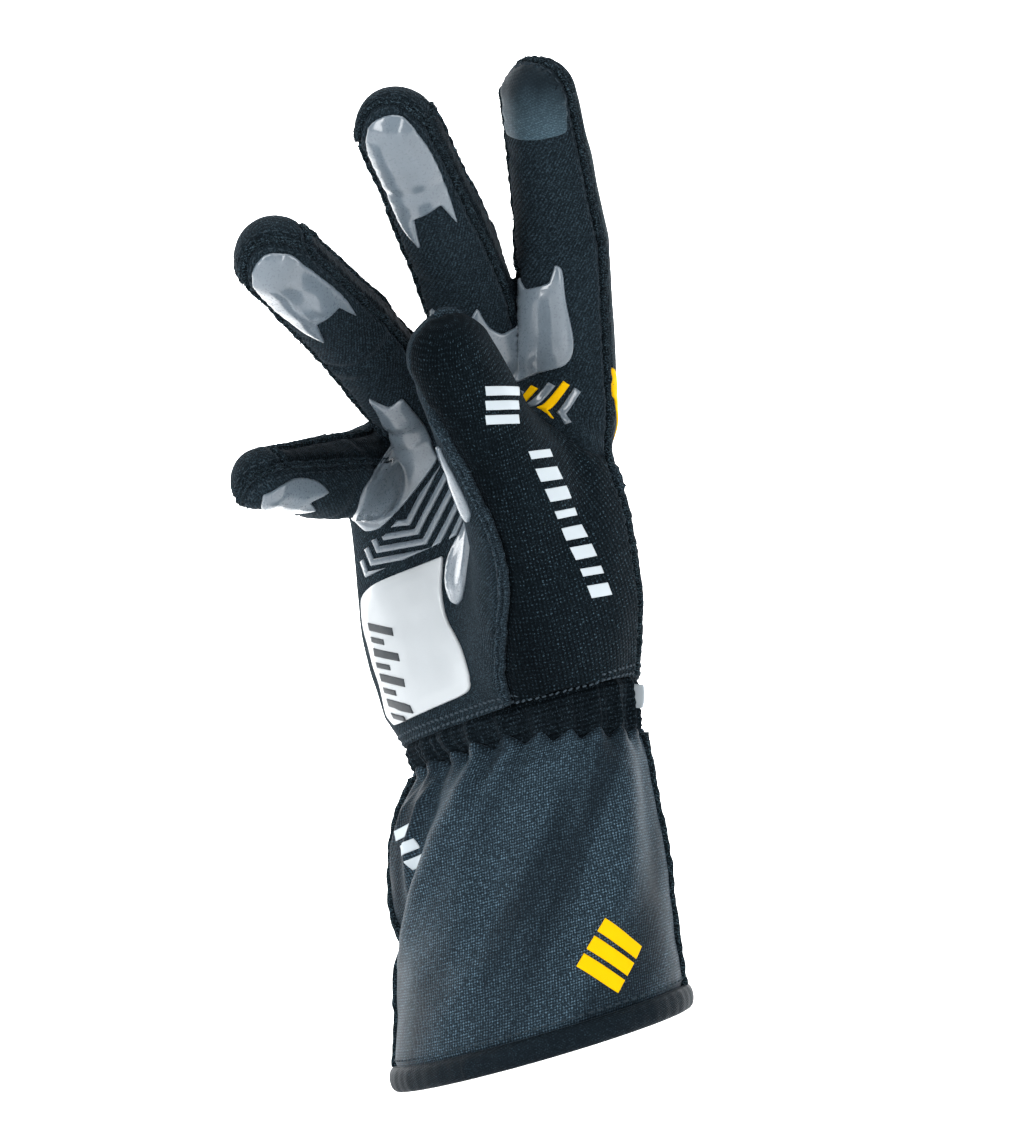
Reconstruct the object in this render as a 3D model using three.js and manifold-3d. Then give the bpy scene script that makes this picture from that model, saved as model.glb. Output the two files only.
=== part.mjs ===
// Right-hand sim racing glove with a gauntlet cuff, kept in the shape of a worn hand.
// Millimetres. The palm faces -Y, the thumb side is +X, the fingers point to +Z and the
// origin is the middle of the wrist.
import * as THREE from 'three';
import { mergeVertices } from 'three/addons/utils/BufferGeometryUtils.js';
import Module from 'manifold-3d';

const wasm = await Module();
wasm.setup();

// Driving dimensions
const WALL = 2.0;            // two plies of knit or twill
const SEAM_GAP = 0.65;       // gap that neighbouring pieces keep
const PRINT_THICKNESS = 0.8; // raised silicone and printed marks
const PRINT_GAP = 0.3;
const LEAST_FACING = 0.12;   // a print runs only over skin that faces its plane by this cosine
const JOINT_BEND = 22;       // length over which a finger joint bends
const CROTCH_FILLET = 3;     // widths over which the forms run into each other
const KNUCKLE_FILLET = 7;
const THUMB_FILLET = 16;
const SEAM_BLEND = 2.5;
const WRIST_LIFT = 0.4;      // the hand starts this far above the wrist seam

// Steps of the working-out
const FRAME_STEP = 1;        // along a finger
const THUMB_ROW_PARTS = 12;
const SEARCH_STEP = 3;
const SLOPE_STEP = 0.4;
const SKIN_PASSES = 3;
const MERGE_DISTANCE = 1e-3;
const SNAP = 0.5;            // a vertex this close to a seam is taken as on it
const FACE_SHIFT = 0.5;
const FAR = 20;
const TINY = 1e-6;
// Grid over the hand, with taller cells up to the knuckles
const HAND_GRID = { low: [-60, -130, -30], high: [60, 40, 200], cell: 8, tall: 14, tallUpTo: 54 };

// Rest pose of the fingers: knuckle place, lean about Y, twist about the finger's start,
// bends at knuckle, middle and end joint in degrees, the three bone lengths and the roll at the tip
const FINGERS = {
  index: {
    x: 25.5, y: -15.5, z: 86.5, spread: 3.5, twist: 4, roll: 0,
    bends: [10, 12, 4], bones: [47, 27, 24.5],
  },
  middle: {
    x: 5, y: -17.5, z: 89, spread: -3.5, twist: 12, roll: 12,
    bends: [36, 10, 2], bones: [49, 31, 24.5],
  },
  ring: {
    x: -16.3, y: -22.3, z: 83, spread: -19, twist: 15, roll: 12,
    bends: [61, 7, 2], bones: [46, 28, 25],
  },
  pinky: {
    x: -32, y: -20, z: 68.4, spread: -22, twist: 6, roll: 28,
    bends: [97, -7, 4], bones: [35, 20, 20],
  },
};

// Half width and half thickness of each finger at the knuckle, middle joint, end joint and tip
const FINGER_SECTIONS = {
  index: { width: [13.3, 12.4, 10.4, 9.6], thickness: [13.4, 12.9, 10.8, 9.8] },
  middle: { width: [12.5, 12.0, 10.8, 10.2], thickness: [13.0, 12.5, 11.0, 10.2] },
  ring: { width: [12.0, 11.5, 10.6, 10.0], thickness: [12.5, 12.2, 11.0, 10.2] },
  pinky: { width: [12.0, 11.0, 9.0, 7.6], thickness: [12.8, 11.6, 8.8, 7.2] },
};

// Thumb from the wrist to the tip: centre, half width, half thickness, the angle of its seams
// from the middle of its palm side, and how far both lean over to the thumb's outer side
const THUMB_SECTIONS = [
  { x: 15, y: -5, z: 0, width: 11, thickness: 10, seam: 82, lean: 2 },
  { x: 21.5, y: -19, z: 30, width: 19.5, thickness: 16.5, seam: 101, lean: 9 },
  { x: 25, y: -33.5, z: 57, width: 17.3, thickness: 15, seam: 105, lean: 19 },
  { x: 24.2, y: -53.7, z: 84, width: 13.2, thickness: 12.5, seam: 90, lean: 22 },
  { x: 22, y: -73, z: 111, width: 10.8, thickness: 10.3, seam: 70, lean: 6 },
];
const THUMB_FACES = new THREE.Vector3(-0.86, 0.5, 0);

// Hand from the wrist seam to the knuckles: centre, half width, half thickness,
// how far the edges curl to the palm, and how square the section is
const PALM_SECTIONS = [
  { z: -16, x: -1.1, y: 0, width: 35.5, thickness: 26, curl: 0, square: 2 },
  { z: 3, x: -1.1, y: 0, width: 35.5, thickness: 26, curl: 0, square: 2 },
  { z: 13, x: -1.8, y: -3.5, width: 39, thickness: 25, curl: 0.5, square: 2.15 },
  { z: 38, x: -2, y: -8, width: 44, thickness: 20, curl: 3, square: 2.4 },
  { z: 60, x: -2, y: -11, width: 44.5, thickness: 18, curl: 5, square: 2.4 },
  { z: 76, x: -1.5, y: -13.5, width: 41.5, thickness: 16.5, curl: 6, square: 2.4 },
  { z: 88, x: 3.5, y: -15.5, width: 34, thickness: 14, curl: 4, square: 2.3 },
];

// Cuff from the wrist seam to the hem: height of the section's middle, centre, half sizes
const CUFF_SECTIONS = [
  { z: 2.7, x: -1.1, width: 35.5, thickness: 26 },
  { z: -6, x: 1.3, width: 33.5, thickness: 24 },
  { z: -14, x: -1.1, width: 37, thickness: 27.5 },
  { z: -24, x: -1.2, width: 39.3, thickness: 30 },
  { z: -36, x: 0.1, width: 40, thickness: 31.5 },
  { z: -52, x: 2.6, width: 40.8, thickness: 32.5 },
  { z: -70, x: 4.3, width: 41.5, thickness: 34 },
  { z: -84, x: 5, width: 42.8, thickness: 35.5 },
  { z: -90.5, x: 6.3, width: 43, thickness: 35.8 },
];
// The wrist seam and the hem slope: rise per millimetre towards +X and +Y
const SEAM_SLOPE = { x: 0.32, y: 0.016 };
const HEM_SLOPE = { x: 0.3, y: 0.1 };
const WRIST_SEAM_Z = 3;
const BAND_BOTTOM_Z = -6;
const HEM_TOP_Z = -84;
const HEM_BOTTOM_Z = -90.5;
const HEM_THICKNESS = 3.4;
const HEM_PROUD = 0.7;       // the turned edge stands out from the cuff by this
const HEM_SIDES = 40;
const FRONT_RADIUS = 40;     // for the angle of a gap between the cuff's panels
const PLEATS = 22;
const SIDES_PER_PLEAT = 2;
const PLEAT_DEPTH = 1.0;
const PLEAT_FADE = 26;       // length of the pleats below the elastic and above it
const PLEAT_RISE = 14;
const CUFF_ROWS = { gathered: 8, gatheredTo: -30, plainFrom: -46, plain: 20 };
const CUFF_SEAMS = { ulnar: -64, radial: 112 };

// Large folds of the cuff: angle at the top and at the bottom, heights, depth, angular width, and
// how late the fold swings over from one angle to the other (1 is evenly)
const CUFF_FOLDS = [
  { top: 6, bottom: -58, from: 4, to: -58, depth: 1.8, width: 10, bend: 1.8 },
  { top: -15, bottom: -76, from: 0, to: -60, depth: -4.6, width: 10, bend: 1.8 },
  { top: 48, bottom: 30, from: -4, to: -50, depth: -1.6, width: 13, bend: 1 },
  { top: 80, bottom: 62, from: -10, to: -66, depth: 1.2, width: 16, bend: 1 },
  { top: -112, bottom: -120, from: -4, to: -58, depth: -2.0, width: 20, bend: 1 },
  { top: 165, bottom: 150, from: -8, to: -64, depth: -1.8, width: 24, bend: 1 },
];

// Seams of the hand, as angles from the middle of the palm side
const FINGER_PALM_EDGE = 64;
const FINGER_BACK_EDGE = 115;
const INDEX_OUTER_EDGE = 85;
const CROTCH_REACH = 4.5;    // half width of the side strips where they run through a crotch
const CROTCH_DEPTH = 3;      // how far off the fingers' and the palm's forms they do so
const CROTCH_LIFT = 1.5;
const TIP_LENGTH = 9;        // over the last of a finger the back panel comes round to the palm's
const TIP_LAP = 2;           // the side strips reach this far under it
const TIP_EDGE = 80;         // how far round from the palm side it stops in the middle of a tip
const TIP_TURN = { from: 0.2, to: 0.85 };  // across a tip, where its edge runs into the sides' edges
const SIDE_PANEL = { from: 52, to: 91, top: 76 };
const BACK_ULNAR_EDGE = -104;
const PALM_CAP = 11;         // height of the rounded end of the hand's main part, over the last row
const TILT_FROM = 14;        // over these heights the sections turn from the wrist seam's slope to level
const TILT_TO = 50;

// Raised pads. Each has its outline in a plane that either lies on a finger at a place along it or
// faces a way given by its azimuth and elevation. An outline is a row of [across, along] points,
// and the pad is cut from the layer over the skin between the two depths along the facing.
const PADS = {
  touch_patch_index: {
    on: 'index', s: 80, depth: [1.5, 20],
    outline: [[-9, 0.3], [9, 0], [9, 11], [6.5, 18], [2.5, 21], [-2.5, 21], [-6.5, 18], [-9, 11]],
  },
  pad_middle_tip: {
    on: 'middle', s: 80, depth: [1.5, 20],
    outline: [
      [0, 22.5], [-4.2, 21], [-6.8, 16], [-7.2, 6], [-7.2, -10], [-4.4, -18], [-2.8, -8.2],
      [5, -6.2], [6.9, -14.1], [7.6, -4], [7.4, 11.1], [6.2, 18], [4, 21.5],
    ],
  },
  pad_ring_tip: {
    on: 'ring', s: 78, depth: [1.5, 20],
    outline: [
      [0, 19.6], [-4.2, 18], [-6.8, 13.5], [-7.4, 2], [-6.2, -9], [-3.8, -16.9], [-1.4, -7.9],
      [5.3, -8.1], [6.8, -16.4], [7.6, -9], [7.2, 3], [6, 15.5], [3.2, 18.6],
    ],
  },
  pad_pinky_tip: {
    on: 'pinky', s: 60, depth: [1.5, 20],
    outline: [
      [-0.5, 12.6], [-4.2, 10], [-6.2, 4], [-6.2, -6.4], [-3, -12], [-0.5, -6.6], [3, -12],
      [5, -6.4], [5.4, 2], [3.6, 9],
    ],
  },
  pad_index_middle_base: {
    azimuth: 12, elevation: -8, depth: [10, 70],
    outline: [
      [27.6, 129.5], [25.9, 130.9], [24.2, 126], [21.3, 125.1], [16.4, 124.2], [14.6, 127.6],
      [13.2, 121], [12.6, 115], [10, 112.4], [7.8, 115], [6.4, 120.6], [3.4, 116.4],
      [-3, 116.8], [-6.2, 121], [-9.6, 113], [-11.6, 106], [-8.6, 99], [2, 97], [12, 99],
      [19, 101.6], [25.9, 103.3], [28.3, 105.6], [29.1, 110.9], [28, 121],
    ],
  },
  pad_ring_pinky_base: {
    azimuth: 12, elevation: -30, depth: [-24, 12],
    outline: [
      [-24.6, 103.6], [-20.6, 99.2], [-16.8, 101.5], [-15.6, 93], [-14.6, 83], [-13.2, 79.4],
      [-15.6, 76.2], [-23.3, 68.2], [-33.9, 59], [-39, 57], [-43.5, 59.5], [-41, 64],
      [-35.6, 69], [-29.5, 77], [-26.4, 85], [-25, 94],
    ],
  },
  pad_thumb_strip: {
    thumb: true, azimuth: -15, elevation: -18, depth: [12, 40],
    outline: [
      [31, 92], [33, 91.4], [34, 84], [34.4, 76.5], [34, 72], [31.5, 69.2], [29.5, 70.4],
      [28.6, 74.5], [29, 82],
    ],
  },
  pad_thumb_drop: {
    azimuth: -20, elevation: -4, depth: [16, 40],
    outline: [
      [13.6, 62], [11, 57.6], [6.6, 52.5], [4.2, 47.5], [4, 42], [6, 37.6], [9, 36.4], [12.4, 38.4],
      [16, 44], [18.4, 51], [17.6, 57.6],
    ],
  },
  palm_block: {
    azimuth: -4, elevation: -4, depth: [8, 40],
    outline: [
      [-37.8, 36], [-35.4, 39], [-29.4, 42], [-5, 50], [-5.6, 41], [-4, 33.6], [0.6, 28], [4.3, 23],
      [5.6, 17.4], [3.6, 13.4], [-5, 9.6], [-24.6, 2.6], [-29, 1.4], [-31, 4], [-31.6, 12],
      [-34, 20], [-37, 28],
    ],
  },
  knuckle_print: {
    azimuth: 110, elevation: 0, depth: [20, 40],
    outline: [[-26.6, 99.5], [-23.4, 97], [-15, 82], [-12.6, 74], [-17, 80], [-25.6, 92.5]],
  },
};

// Nested chevrons in the palm: their corners, the step from one to the next, the arms' directions
// and the stroke. The band under them cuts them off along a straight line.
const PALM_PLANE = { azimuth: 0, elevation: -6, depth: [12, 27] };
const PALM_CHEVRONS = {
  count: 5,
  right: { across: -18.7, along: 59.9, stepAcross: 2.75, stepAlong: -2.6 },
  left: { across: -24.5, along: 59.3, stepAcross: -2.8, stepAlong: -3.7 },
  rightArm: { across: 0.565, along: 0.825, length: 30 },
  leftArm: { across: -0.46, along: 0.89, length: 4.5 },
  stroke: 1.9,
};
const PALM_CHEVRON_AREA = [
  [-45, 40.5], [-33, 44.9], [-4.7, 55.4], [1, 57.6], [1, 68], [-6.5, 76], [-9, 73.4],
  [-16.6, 65.7], [-27.6, 56], [-33, 54.4], [-45, 54.4],
];

// Chevrons under the index finger: one stands beside the next
const SIDE_PLANE = { azimuth: 35, elevation: 8, depth: [44, 60] };
const SIDE_CHEVRONS = [
  { name: 'side_chevron_1', across: -5.2, armDrop: 7.2, armLean: 5 },
  { name: 'side_chevron_2', across: -1.9, armDrop: 7.8, armLean: 5.2 },
  { name: 'side_chevron_3', across: 1.9, armDrop: 8.4, armLean: 5.6 },
  { name: 'side_chevron_4', across: 5.3, armDrop: 8.6, armLean: 5.9 },
  { name: 'side_chevron_5', across: 9.8, armDrop: 6.8, armLean: 4.4 },
];
const SIDE_CHEVRON = { stroke: 1.7, corner: 79.7, footDrop: 2.9, footLean: 1.5 };

// Plain yellow mark on the cuff: its left corner and its two sides, in degrees around and mm up
const CUFF_MARK = {
  corner: { angle: 45.5, z: -69.2 },
  rise: { angle: 13.6, z: 10.2 },
  fall: { angle: 16.8, z: -10.3 },
  sides: 4,
};

const smoothstep = (t) => THREE.MathUtils.smoothstep(t, 0, 1);
const radians = THREE.MathUtils.degToRad;

// Linear interpolation in a table of values at rising places
function interpolate(places, values, place) {
  for (let i = 1; i < places.length; i += 1) {
    if (place <= places[i] || i === places.length - 1) {
      const t = (place - places[i - 1]) / (places[i] - places[i - 1]);
      return THREE.MathUtils.lerp(values[i - 1], values[i], THREE.MathUtils.clamp(t, 0, 1));
    }
  }
  return values[0];
}

// Rows of a table, with smooth rows put in between
function refine(rows, parts) {
  const result = [];
  const keys = Object.keys(rows[0]);
  for (let i = 0; i < rows.length - 1; i += 1) {
    for (let j = 0; j < parts; j += 1) {
      const t = j / parts;
      const row = {};
      for (const key of keys) {
        const p1 = rows[i][key];
        const p2 = rows[i + 1][key];
        const p0 = i > 0 ? rows[i - 1][key] : 2 * p1 - p2;
        const p3 = i < rows.length - 2 ? rows[i + 2][key] : 2 * p2 - p1;
        row[key] = 0.5 * (2 * p1 + (p2 - p0) * t + (2 * p0 - 5 * p1 + 4 * p2 - p3) * t * t
          + (3 * p1 - p0 - 3 * p2 + p3) * t ** 3);
      }
      result.push(row);
    }
  }
  result.push({ ...rows[rows.length - 1] });
  return result;
}

// A closed solid between an outer and an inner grid of points, open or closed round
function thickGrid(outer, inner, wrap) {
  const rows = outer.length;
  const columns = outer[0].length;
  const positions = [];
  const indices = [];
  for (const grid of [outer, inner]) {
    for (const row of grid) {
      for (const point of row) positions.push(point.x, point.y, point.z);
    }
  }
  const at = (side, i, j) => side * rows * columns + i * columns + (j % columns);
  const quad = (a, b, c, d) => indices.push(a, b, c, a, c, d);
  const spans = wrap ? columns : columns - 1;
  for (let i = 0; i < rows - 1; i += 1) {
    for (let j = 0; j < spans; j += 1) {
      quad(at(0, i, j), at(0, i, j + 1), at(0, i + 1, j + 1), at(0, i + 1, j));
      quad(at(1, i, j), at(1, i + 1, j), at(1, i + 1, j + 1), at(1, i, j + 1));
    }
    if (!wrap) {
      quad(at(0, i, 0), at(0, i + 1, 0), at(1, i + 1, 0), at(1, i, 0));
      const last = columns - 1;
      quad(at(0, i + 1, last), at(0, i, last), at(1, i, last), at(1, i + 1, last));
    }
  }
  for (let j = 0; j < spans; j += 1) {
    quad(at(0, 0, j + 1), at(0, 0, j), at(1, 0, j), at(1, 0, j + 1));
    quad(at(0, rows - 1, j), at(0, rows - 1, j + 1), at(1, rows - 1, j + 1), at(1, rows - 1, j));
  }
  return toSolid(positions, indices);
}

function toSolid(positions, indices) {
  let geometry = new THREE.BufferGeometry();
  geometry.setAttribute('position', new THREE.Float32BufferAttribute(positions, 3));
  geometry.setIndex(indices);
  geometry = mergeVertices(geometry, MERGE_DISTANCE);
  const mesh = new wasm.Mesh({
    numProp: 3,
    vertProperties: new Float32Array(geometry.attributes.position.array),
    triVerts: new Uint32Array(geometry.index.array),
  });
  const solid = new wasm.Manifold(mesh);
  return solid.volume() < 0 ? new wasm.Manifold(flipped(mesh)) : solid;
}

function flipped(mesh) {
  const triVerts = mesh.triVerts.slice();
  for (let i = 0; i < triVerts.length; i += 3) {
    [triVerts[i], triVerts[i + 1]] = [triVerts[i + 1], triVerts[i]];
  }
  return new wasm.Mesh({ numProp: 3, vertProperties: mesh.vertProperties, triVerts });
}

// Frames along a finger: place, direction, palm-side normal, lateral axis and half sizes
function fingerFrames(name) {
  const { x, y, z, spread, twist, bends, bones, roll } = FINGERS[name];
  const { width, thickness } = FINGER_SECTIONS[name];
  const lean = new THREE.Matrix4().makeRotationY(radians(spread));
  const up = new THREE.Vector3(0, 0, 1).applyMatrix4(lean);
  const side = new THREE.Vector3(1, 0, 0).applyMatrix4(lean).applyAxisAngle(up, radians(twist));
  const palmar = new THREE.Vector3().crossVectors(side, up);
  const joints = [0, bones[0], bones[0] + bones[1]];
  const length = bones[0] + bones[1] + bones[2];
  const places = [...joints, length];
  const angleAt = (s) => joints.reduce(
    (sum, joint, i) => sum + radians(bends[i]) * smoothstep((s - joint) / JOINT_BEND + 0.5), 0);
  const point = new THREE.Vector3(x, y, z);
  const frames = [];
  for (let s = 0; s <= length + TINY; s += FRAME_STEP) {
    const angle = angleAt(s);
    const direction = up.clone().multiplyScalar(Math.cos(angle)).addScaledVector(palmar, Math.sin(angle));
    const normal = up.clone().multiplyScalar(-Math.sin(angle)).addScaledVector(palmar, Math.cos(angle));
    const turn = radians(roll) * smoothstep(s / bones[0]);
    frames.push({
      s,
      length,
      point: point.clone(),
      direction,
      normal: normal.clone().applyAxisAngle(direction, turn),
      side: side.clone().applyAxisAngle(direction, turn),
      width: interpolate(places, width, s),
      thickness: interpolate(places, thickness, s),
    });
    point.addScaledVector(direction, FRAME_STEP);
  }
  return frames;
}

function thumbFrames() {
  const rows = refine(THUMB_SECTIONS, THUMB_ROW_PARTS);
  const frames = rows.map((row) => ({ ...row, point: new THREE.Vector3(row.x, row.y, row.z) }));
  let s = 0;
  frames.forEach((frame, i) => {
    const before = frames[Math.max(i - 1, 0)].point;
    const after = frames[Math.min(i + 1, frames.length - 1)].point;
    frame.direction = after.clone().sub(before).normalize();
    frame.normal = THUMB_FACES.clone().addScaledVector(frame.direction, -THUMB_FACES.dot(frame.direction));
    frame.normal.normalize();
    frame.side = new THREE.Vector3().crossVectors(frame.direction, frame.normal);
    if (i > 0) s += frame.point.distanceTo(before);
    frame.s = s;
  });
  return frames.map((frame) => ({ ...frame, length: s }));
}

// The frame at a distance along a tube
function frameAt(frames, s) {
  const last = frames[frames.length - 1];
  if (s >= last.s) {
    return { ...last, point: last.point.clone().addScaledVector(last.direction, s - last.s) };
  }
  let i = 1;
  while (frames[i].s < s) i += 1;
  const a = frames[i - 1];
  const b = frames[i];
  const t = Math.max(0, (s - a.s) / (b.s - a.s));
  const frame = { s, length: a.length };
  for (const key of ['point', 'direction', 'normal', 'side']) frame[key] = a[key].clone().lerp(b[key], t);
  for (const key of ['width', 'thickness', 'seam', 'lean']) {
    frame[key] = THREE.MathUtils.lerp(a[key], b[key], t);
  }
  return frame;
}

const tubes = {
  index: fingerFrames('index'),
  middle: fingerFrames('middle'),
  ring: fingerFrames('ring'),
  pinky: fingerFrames('pinky'),
  thumb: thumbFrames(),
};

// How far a point lies from an oval of the given half sizes, along the ray from its middle
function ovalDistance(x, y, z, width, thickness, length, power) {
  const radius = Math.hypot(x, y, z);
  const section = ((Math.abs(x) / width) ** power + (Math.abs(y) / thickness) ** power) ** (1 / power);
  const ratio = Math.hypot(section, z / length);
  return ratio < TINY ? -Math.min(width, thickness) : radius * (1 - 1 / ratio);
}

// A point seen from a finger or thumb: distance to its skin, place along it, angle round it
function seeTube(frames, point) {
  const { length } = frames[0];
  const radius = frames[frames.length - 1].width;
  let nearest = 0;
  let best = Infinity;
  for (let i = 0; i < frames.length; i += SEARCH_STEP) {
    const away = frames[i].point.distanceToSquared(point);
    if (away < best) {
      best = away;
      nearest = i;
    }
  }
  const guess = frames[nearest];
  const along = point.clone().sub(guess.point).dot(guess.direction);
  const s = THREE.MathUtils.clamp(guess.s + along, 0, length - radius);
  const frame = frameAt(frames, s);
  const away = point.clone().sub(frame.point);
  const x = away.dot(frame.side);
  const y = away.dot(frame.normal);
  const end = s > 0 && s < length - radius ? 0 : away.dot(frame.direction);
  return {
    distance: ovalDistance(x, y, end, frame.width, frame.thickness, radius, 2),
    s: s + Math.max(end, 0),
    angle: THREE.MathUtils.radToDeg(Math.atan2(x, y)),
    radius: Math.max(Math.hypot(x, y), 1),
    x,
    y,
    end,
    frame,
  };
}

// A point seen from the main part of the hand
function seePalm(point) {
  const tilt = 1 - smoothstep((point.z - TILT_FROM) / (TILT_TO - TILT_FROM));
  const heights = PALM_SECTIONS.map((row) => row.z);
  const top = heights[heights.length - 1];
  const z = point.z - tilt * SEAM_SLOPE.x * point.x;
  const at = (key) => interpolate(heights, PALM_SECTIONS.map((row) => row[key]), z);
  const width = at('width');
  const x = point.x - at('x');
  const y = -(point.y - at('y') + at('curl') * Math.min((x / width) ** 2, 1.2));
  const above = Math.max(0, point.z - top);
  return {
    distance: ovalDistance(x, y, above, width, at('thickness'), PALM_CAP, at('square')),
    angle: THREE.MathUtils.radToDeg(Math.atan2(x, y)),
    radius: Math.hypot(x, y),
  };
}

// The smaller of two distances, with the valley between them filled over a width
function smoothMin(a, b, width) {
  const overlap = Math.max(width - Math.abs(a - b), 0) / width;
  return Math.min(a, b) - overlap * overlap * width / 4;
}

const FINGER_NAMES = ['index', 'middle', 'ring', 'pinky'];

function handDistance(point) {
  const fingers = FINGER_NAMES.map((name) => seeTube(tubes[name], point).distance);
  const hand = smoothMin(
    seePalm(point).distance, fingers.reduce((sum, distance) => smoothMin(sum, distance, CROTCH_FILLET)),
    KNUCKLE_FILLET);
  return smoothMin(hand, seeTube(tubes.thumb, point).distance, THUMB_FILLET);
}

function handNormal(point) {
  const slope = (axis) => {
    const shift = new THREE.Vector3().setComponent(axis, SLOPE_STEP);
    return handDistance(point.clone().add(shift)) - handDistance(point.clone().sub(shift));
  };
  return new THREE.Vector3(slope(0), slope(1), slope(2)).normalize();
}

// Where the corners of a grid's face lie inside and outside in turn, the one nearest the skin
// changes sides, so that the face is crossed once
function settleFaces(values, [nx, ny, nz]) {
  const steps = [1, nx, nx * ny];
  let changed = true;
  while (changed) {
    changed = false;
    for (let at = 0; at < nx * ny * (nz - 1); at += 1) {
      const [i, j] = [at % nx, Math.floor(at / nx) % ny];
      for (const [one, other] of [[0, 1], [0, 2], [1, 2]]) {
        if ((one === 0 && i === nx - 1) || ((one === 1 || other === 1) && j === ny - 1)) continue;
        const face = [at, at + steps[one], at + steps[one] + steps[other], at + steps[other]];
        const inside = face.map((corner) => values[corner] < 0);
        if (inside[0] !== inside[2] || inside[1] !== inside[3] || inside[0] === inside[1]) continue;
        const weakest = face.reduce((a, b) => (Math.abs(values[b]) < Math.abs(values[a]) ? b : a));
        values[weakest] = values[weakest] < 0 ? FACE_SHIFT : -FACE_SHIFT;
        changed = true;
      }
    }
  }
}

// The skin of the hand as triangles, with its vertices in the cells of a grid that it crosses
function skin() {
  const { low, high, cell, tall, tallUpTo } = HAND_GRID;
  const [xs, ys, zs] = low.map((value, axis) => {
    const places = [value];
    while (places[places.length - 1] < high[axis]) {
      const last = places[places.length - 1];
      places.push(last + (axis === 2 && last < tallUpTo ? tall : cell));
    }
    return places;
  });
  const [nx, ny, nz] = [xs.length, ys.length, zs.length];
  const index = (i, j, k) => (k * ny + j) * nx + i;
  const place = (i, j, k) => new THREE.Vector3(xs[i], ys[j], zs[k]);
  const values = new Float64Array(nx * ny * nz);
  for (let k = 0; k < nz; k += 1) {
    for (let j = 0; j < ny; j += 1) {
      for (let i = 0; i < nx; i += 1) values[index(i, j, k)] = handDistance(place(i, j, k));
    }
  }
  settleFaces(values, [nx, ny, nz]);
  const corners = [0, 1, 2, 3, 4, 5, 6, 7].map((c) => [c & 1, (c >> 1) & 1, (c >> 2) & 1]);
  const points = [];
  // A cell has a vertex for each sheet of skin in it: corners on one side that touch form a sheet
  const cellSheets = (i, j, k) => {
    const value = corners.map(([a, b, c]) => values[index(i + a, j + b, k + c)]);
    const group = corners.map((_, corner) => corner);
    for (let pass = 0; pass < 3; pass += 1) {
      corners.forEach((_, corner) => {
        for (const bit of [1, 2, 4]) {
          const next = corner ^ bit;
          if ((value[corner] < 0) !== (value[next] < 0)) continue;
          group[corner] = Math.min(group[corner], group[next]);
        }
      });
    }
    const sums = new Map();
    corners.forEach((_, corner) => {
      for (const bit of [1, 2, 4]) {
        const next = corner ^ bit;
        if (value[corner] >= 0 || value[next] < 0) continue;
        const key = group[corner] * 8 + group[next];
        const start = place(i + corners[corner][0], j + corners[corner][1], k + corners[corner][2]);
        const end = place(i + corners[next][0], j + corners[next][1], k + corners[next][2]);
        const crossing = start.lerp(end, value[corner] / (value[corner] - value[next]));
        sums.set(key, [...(sums.get(key) ?? []), crossing]);
      }
    });
    const vertices = new Map();
    for (const [key, crossings] of sums) {
      const point = crossings.reduce((sum, crossing) => sum.add(crossing), new THREE.Vector3());
      point.divideScalar(crossings.length);
      for (let pass = 0; pass < SKIN_PASSES; pass += 1) {
        point.addScaledVector(handNormal(point), -handDistance(point));
      }
      vertices.set(key, points.length);
      points.push(point);
    }
    return { group, vertices };
  };
  const sheets = new Map();
  const vertexAt = ([i, j, k], inside, outside) => {
    const key = index(i, j, k);
    if (!sheets.has(key)) sheets.set(key, cellSheets(i, j, k));
    const { group, vertices } = sheets.get(key);
    const corner = (where) => (where[0] - i) + 2 * (where[1] - j) + 4 * (where[2] - k);
    return vertices.get(group[corner(inside)] * 8 + group[corner(outside)]);
  };
  const triangles = [];
  for (let k = 1; k < nz - 1; k += 1) {
    for (let j = 1; j < ny - 1; j += 1) {
      for (let i = 1; i < nx - 1; i += 1) {
        const here = values[index(i, j, k)] < 0;
        const edges = [
          [[i + 1, j, k], [[i, j - 1, k - 1], [i, j, k - 1], [i, j, k], [i, j - 1, k]]],
          [[i, j + 1, k], [[i - 1, j, k - 1], [i - 1, j, k], [i, j, k], [i, j, k - 1]]],
          [[i, j, k + 1], [[i - 1, j - 1, k], [i, j - 1, k], [i, j, k], [i - 1, j, k]]],
        ];
        for (const [far, cells] of edges) {
          const there = values[index(...far)] < 0;
          if (here === there) continue;
          const [inside, outside] = here ? [[i, j, k], far] : [far, [i, j, k]];
          const quad = cells.map((cell) => vertexAt(cell, inside, outside));
          if (!here) quad.reverse();
          const across = (one, other) => points[quad[one]].distanceTo(points[quad[other]]);
          const [a, b, c, d] = across(0, 2) < across(1, 3) ? quad : [quad[1], quad[2], quad[3], quad[0]];
          triangles.push([a, b, c], [a, c, d]);
        }
      }
    }
  }
  const normals = points.map(() => new THREE.Vector3());
  for (const [a, b, c] of triangles) {
    const area = points[b].clone().sub(points[a]).cross(points[c].clone().sub(points[a]));
    for (const i of [a, b, c]) normals[i].add(area);
  }
  normals.forEach((normal) => normal.normalize());
  return { points, normals, triangles };
}

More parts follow.
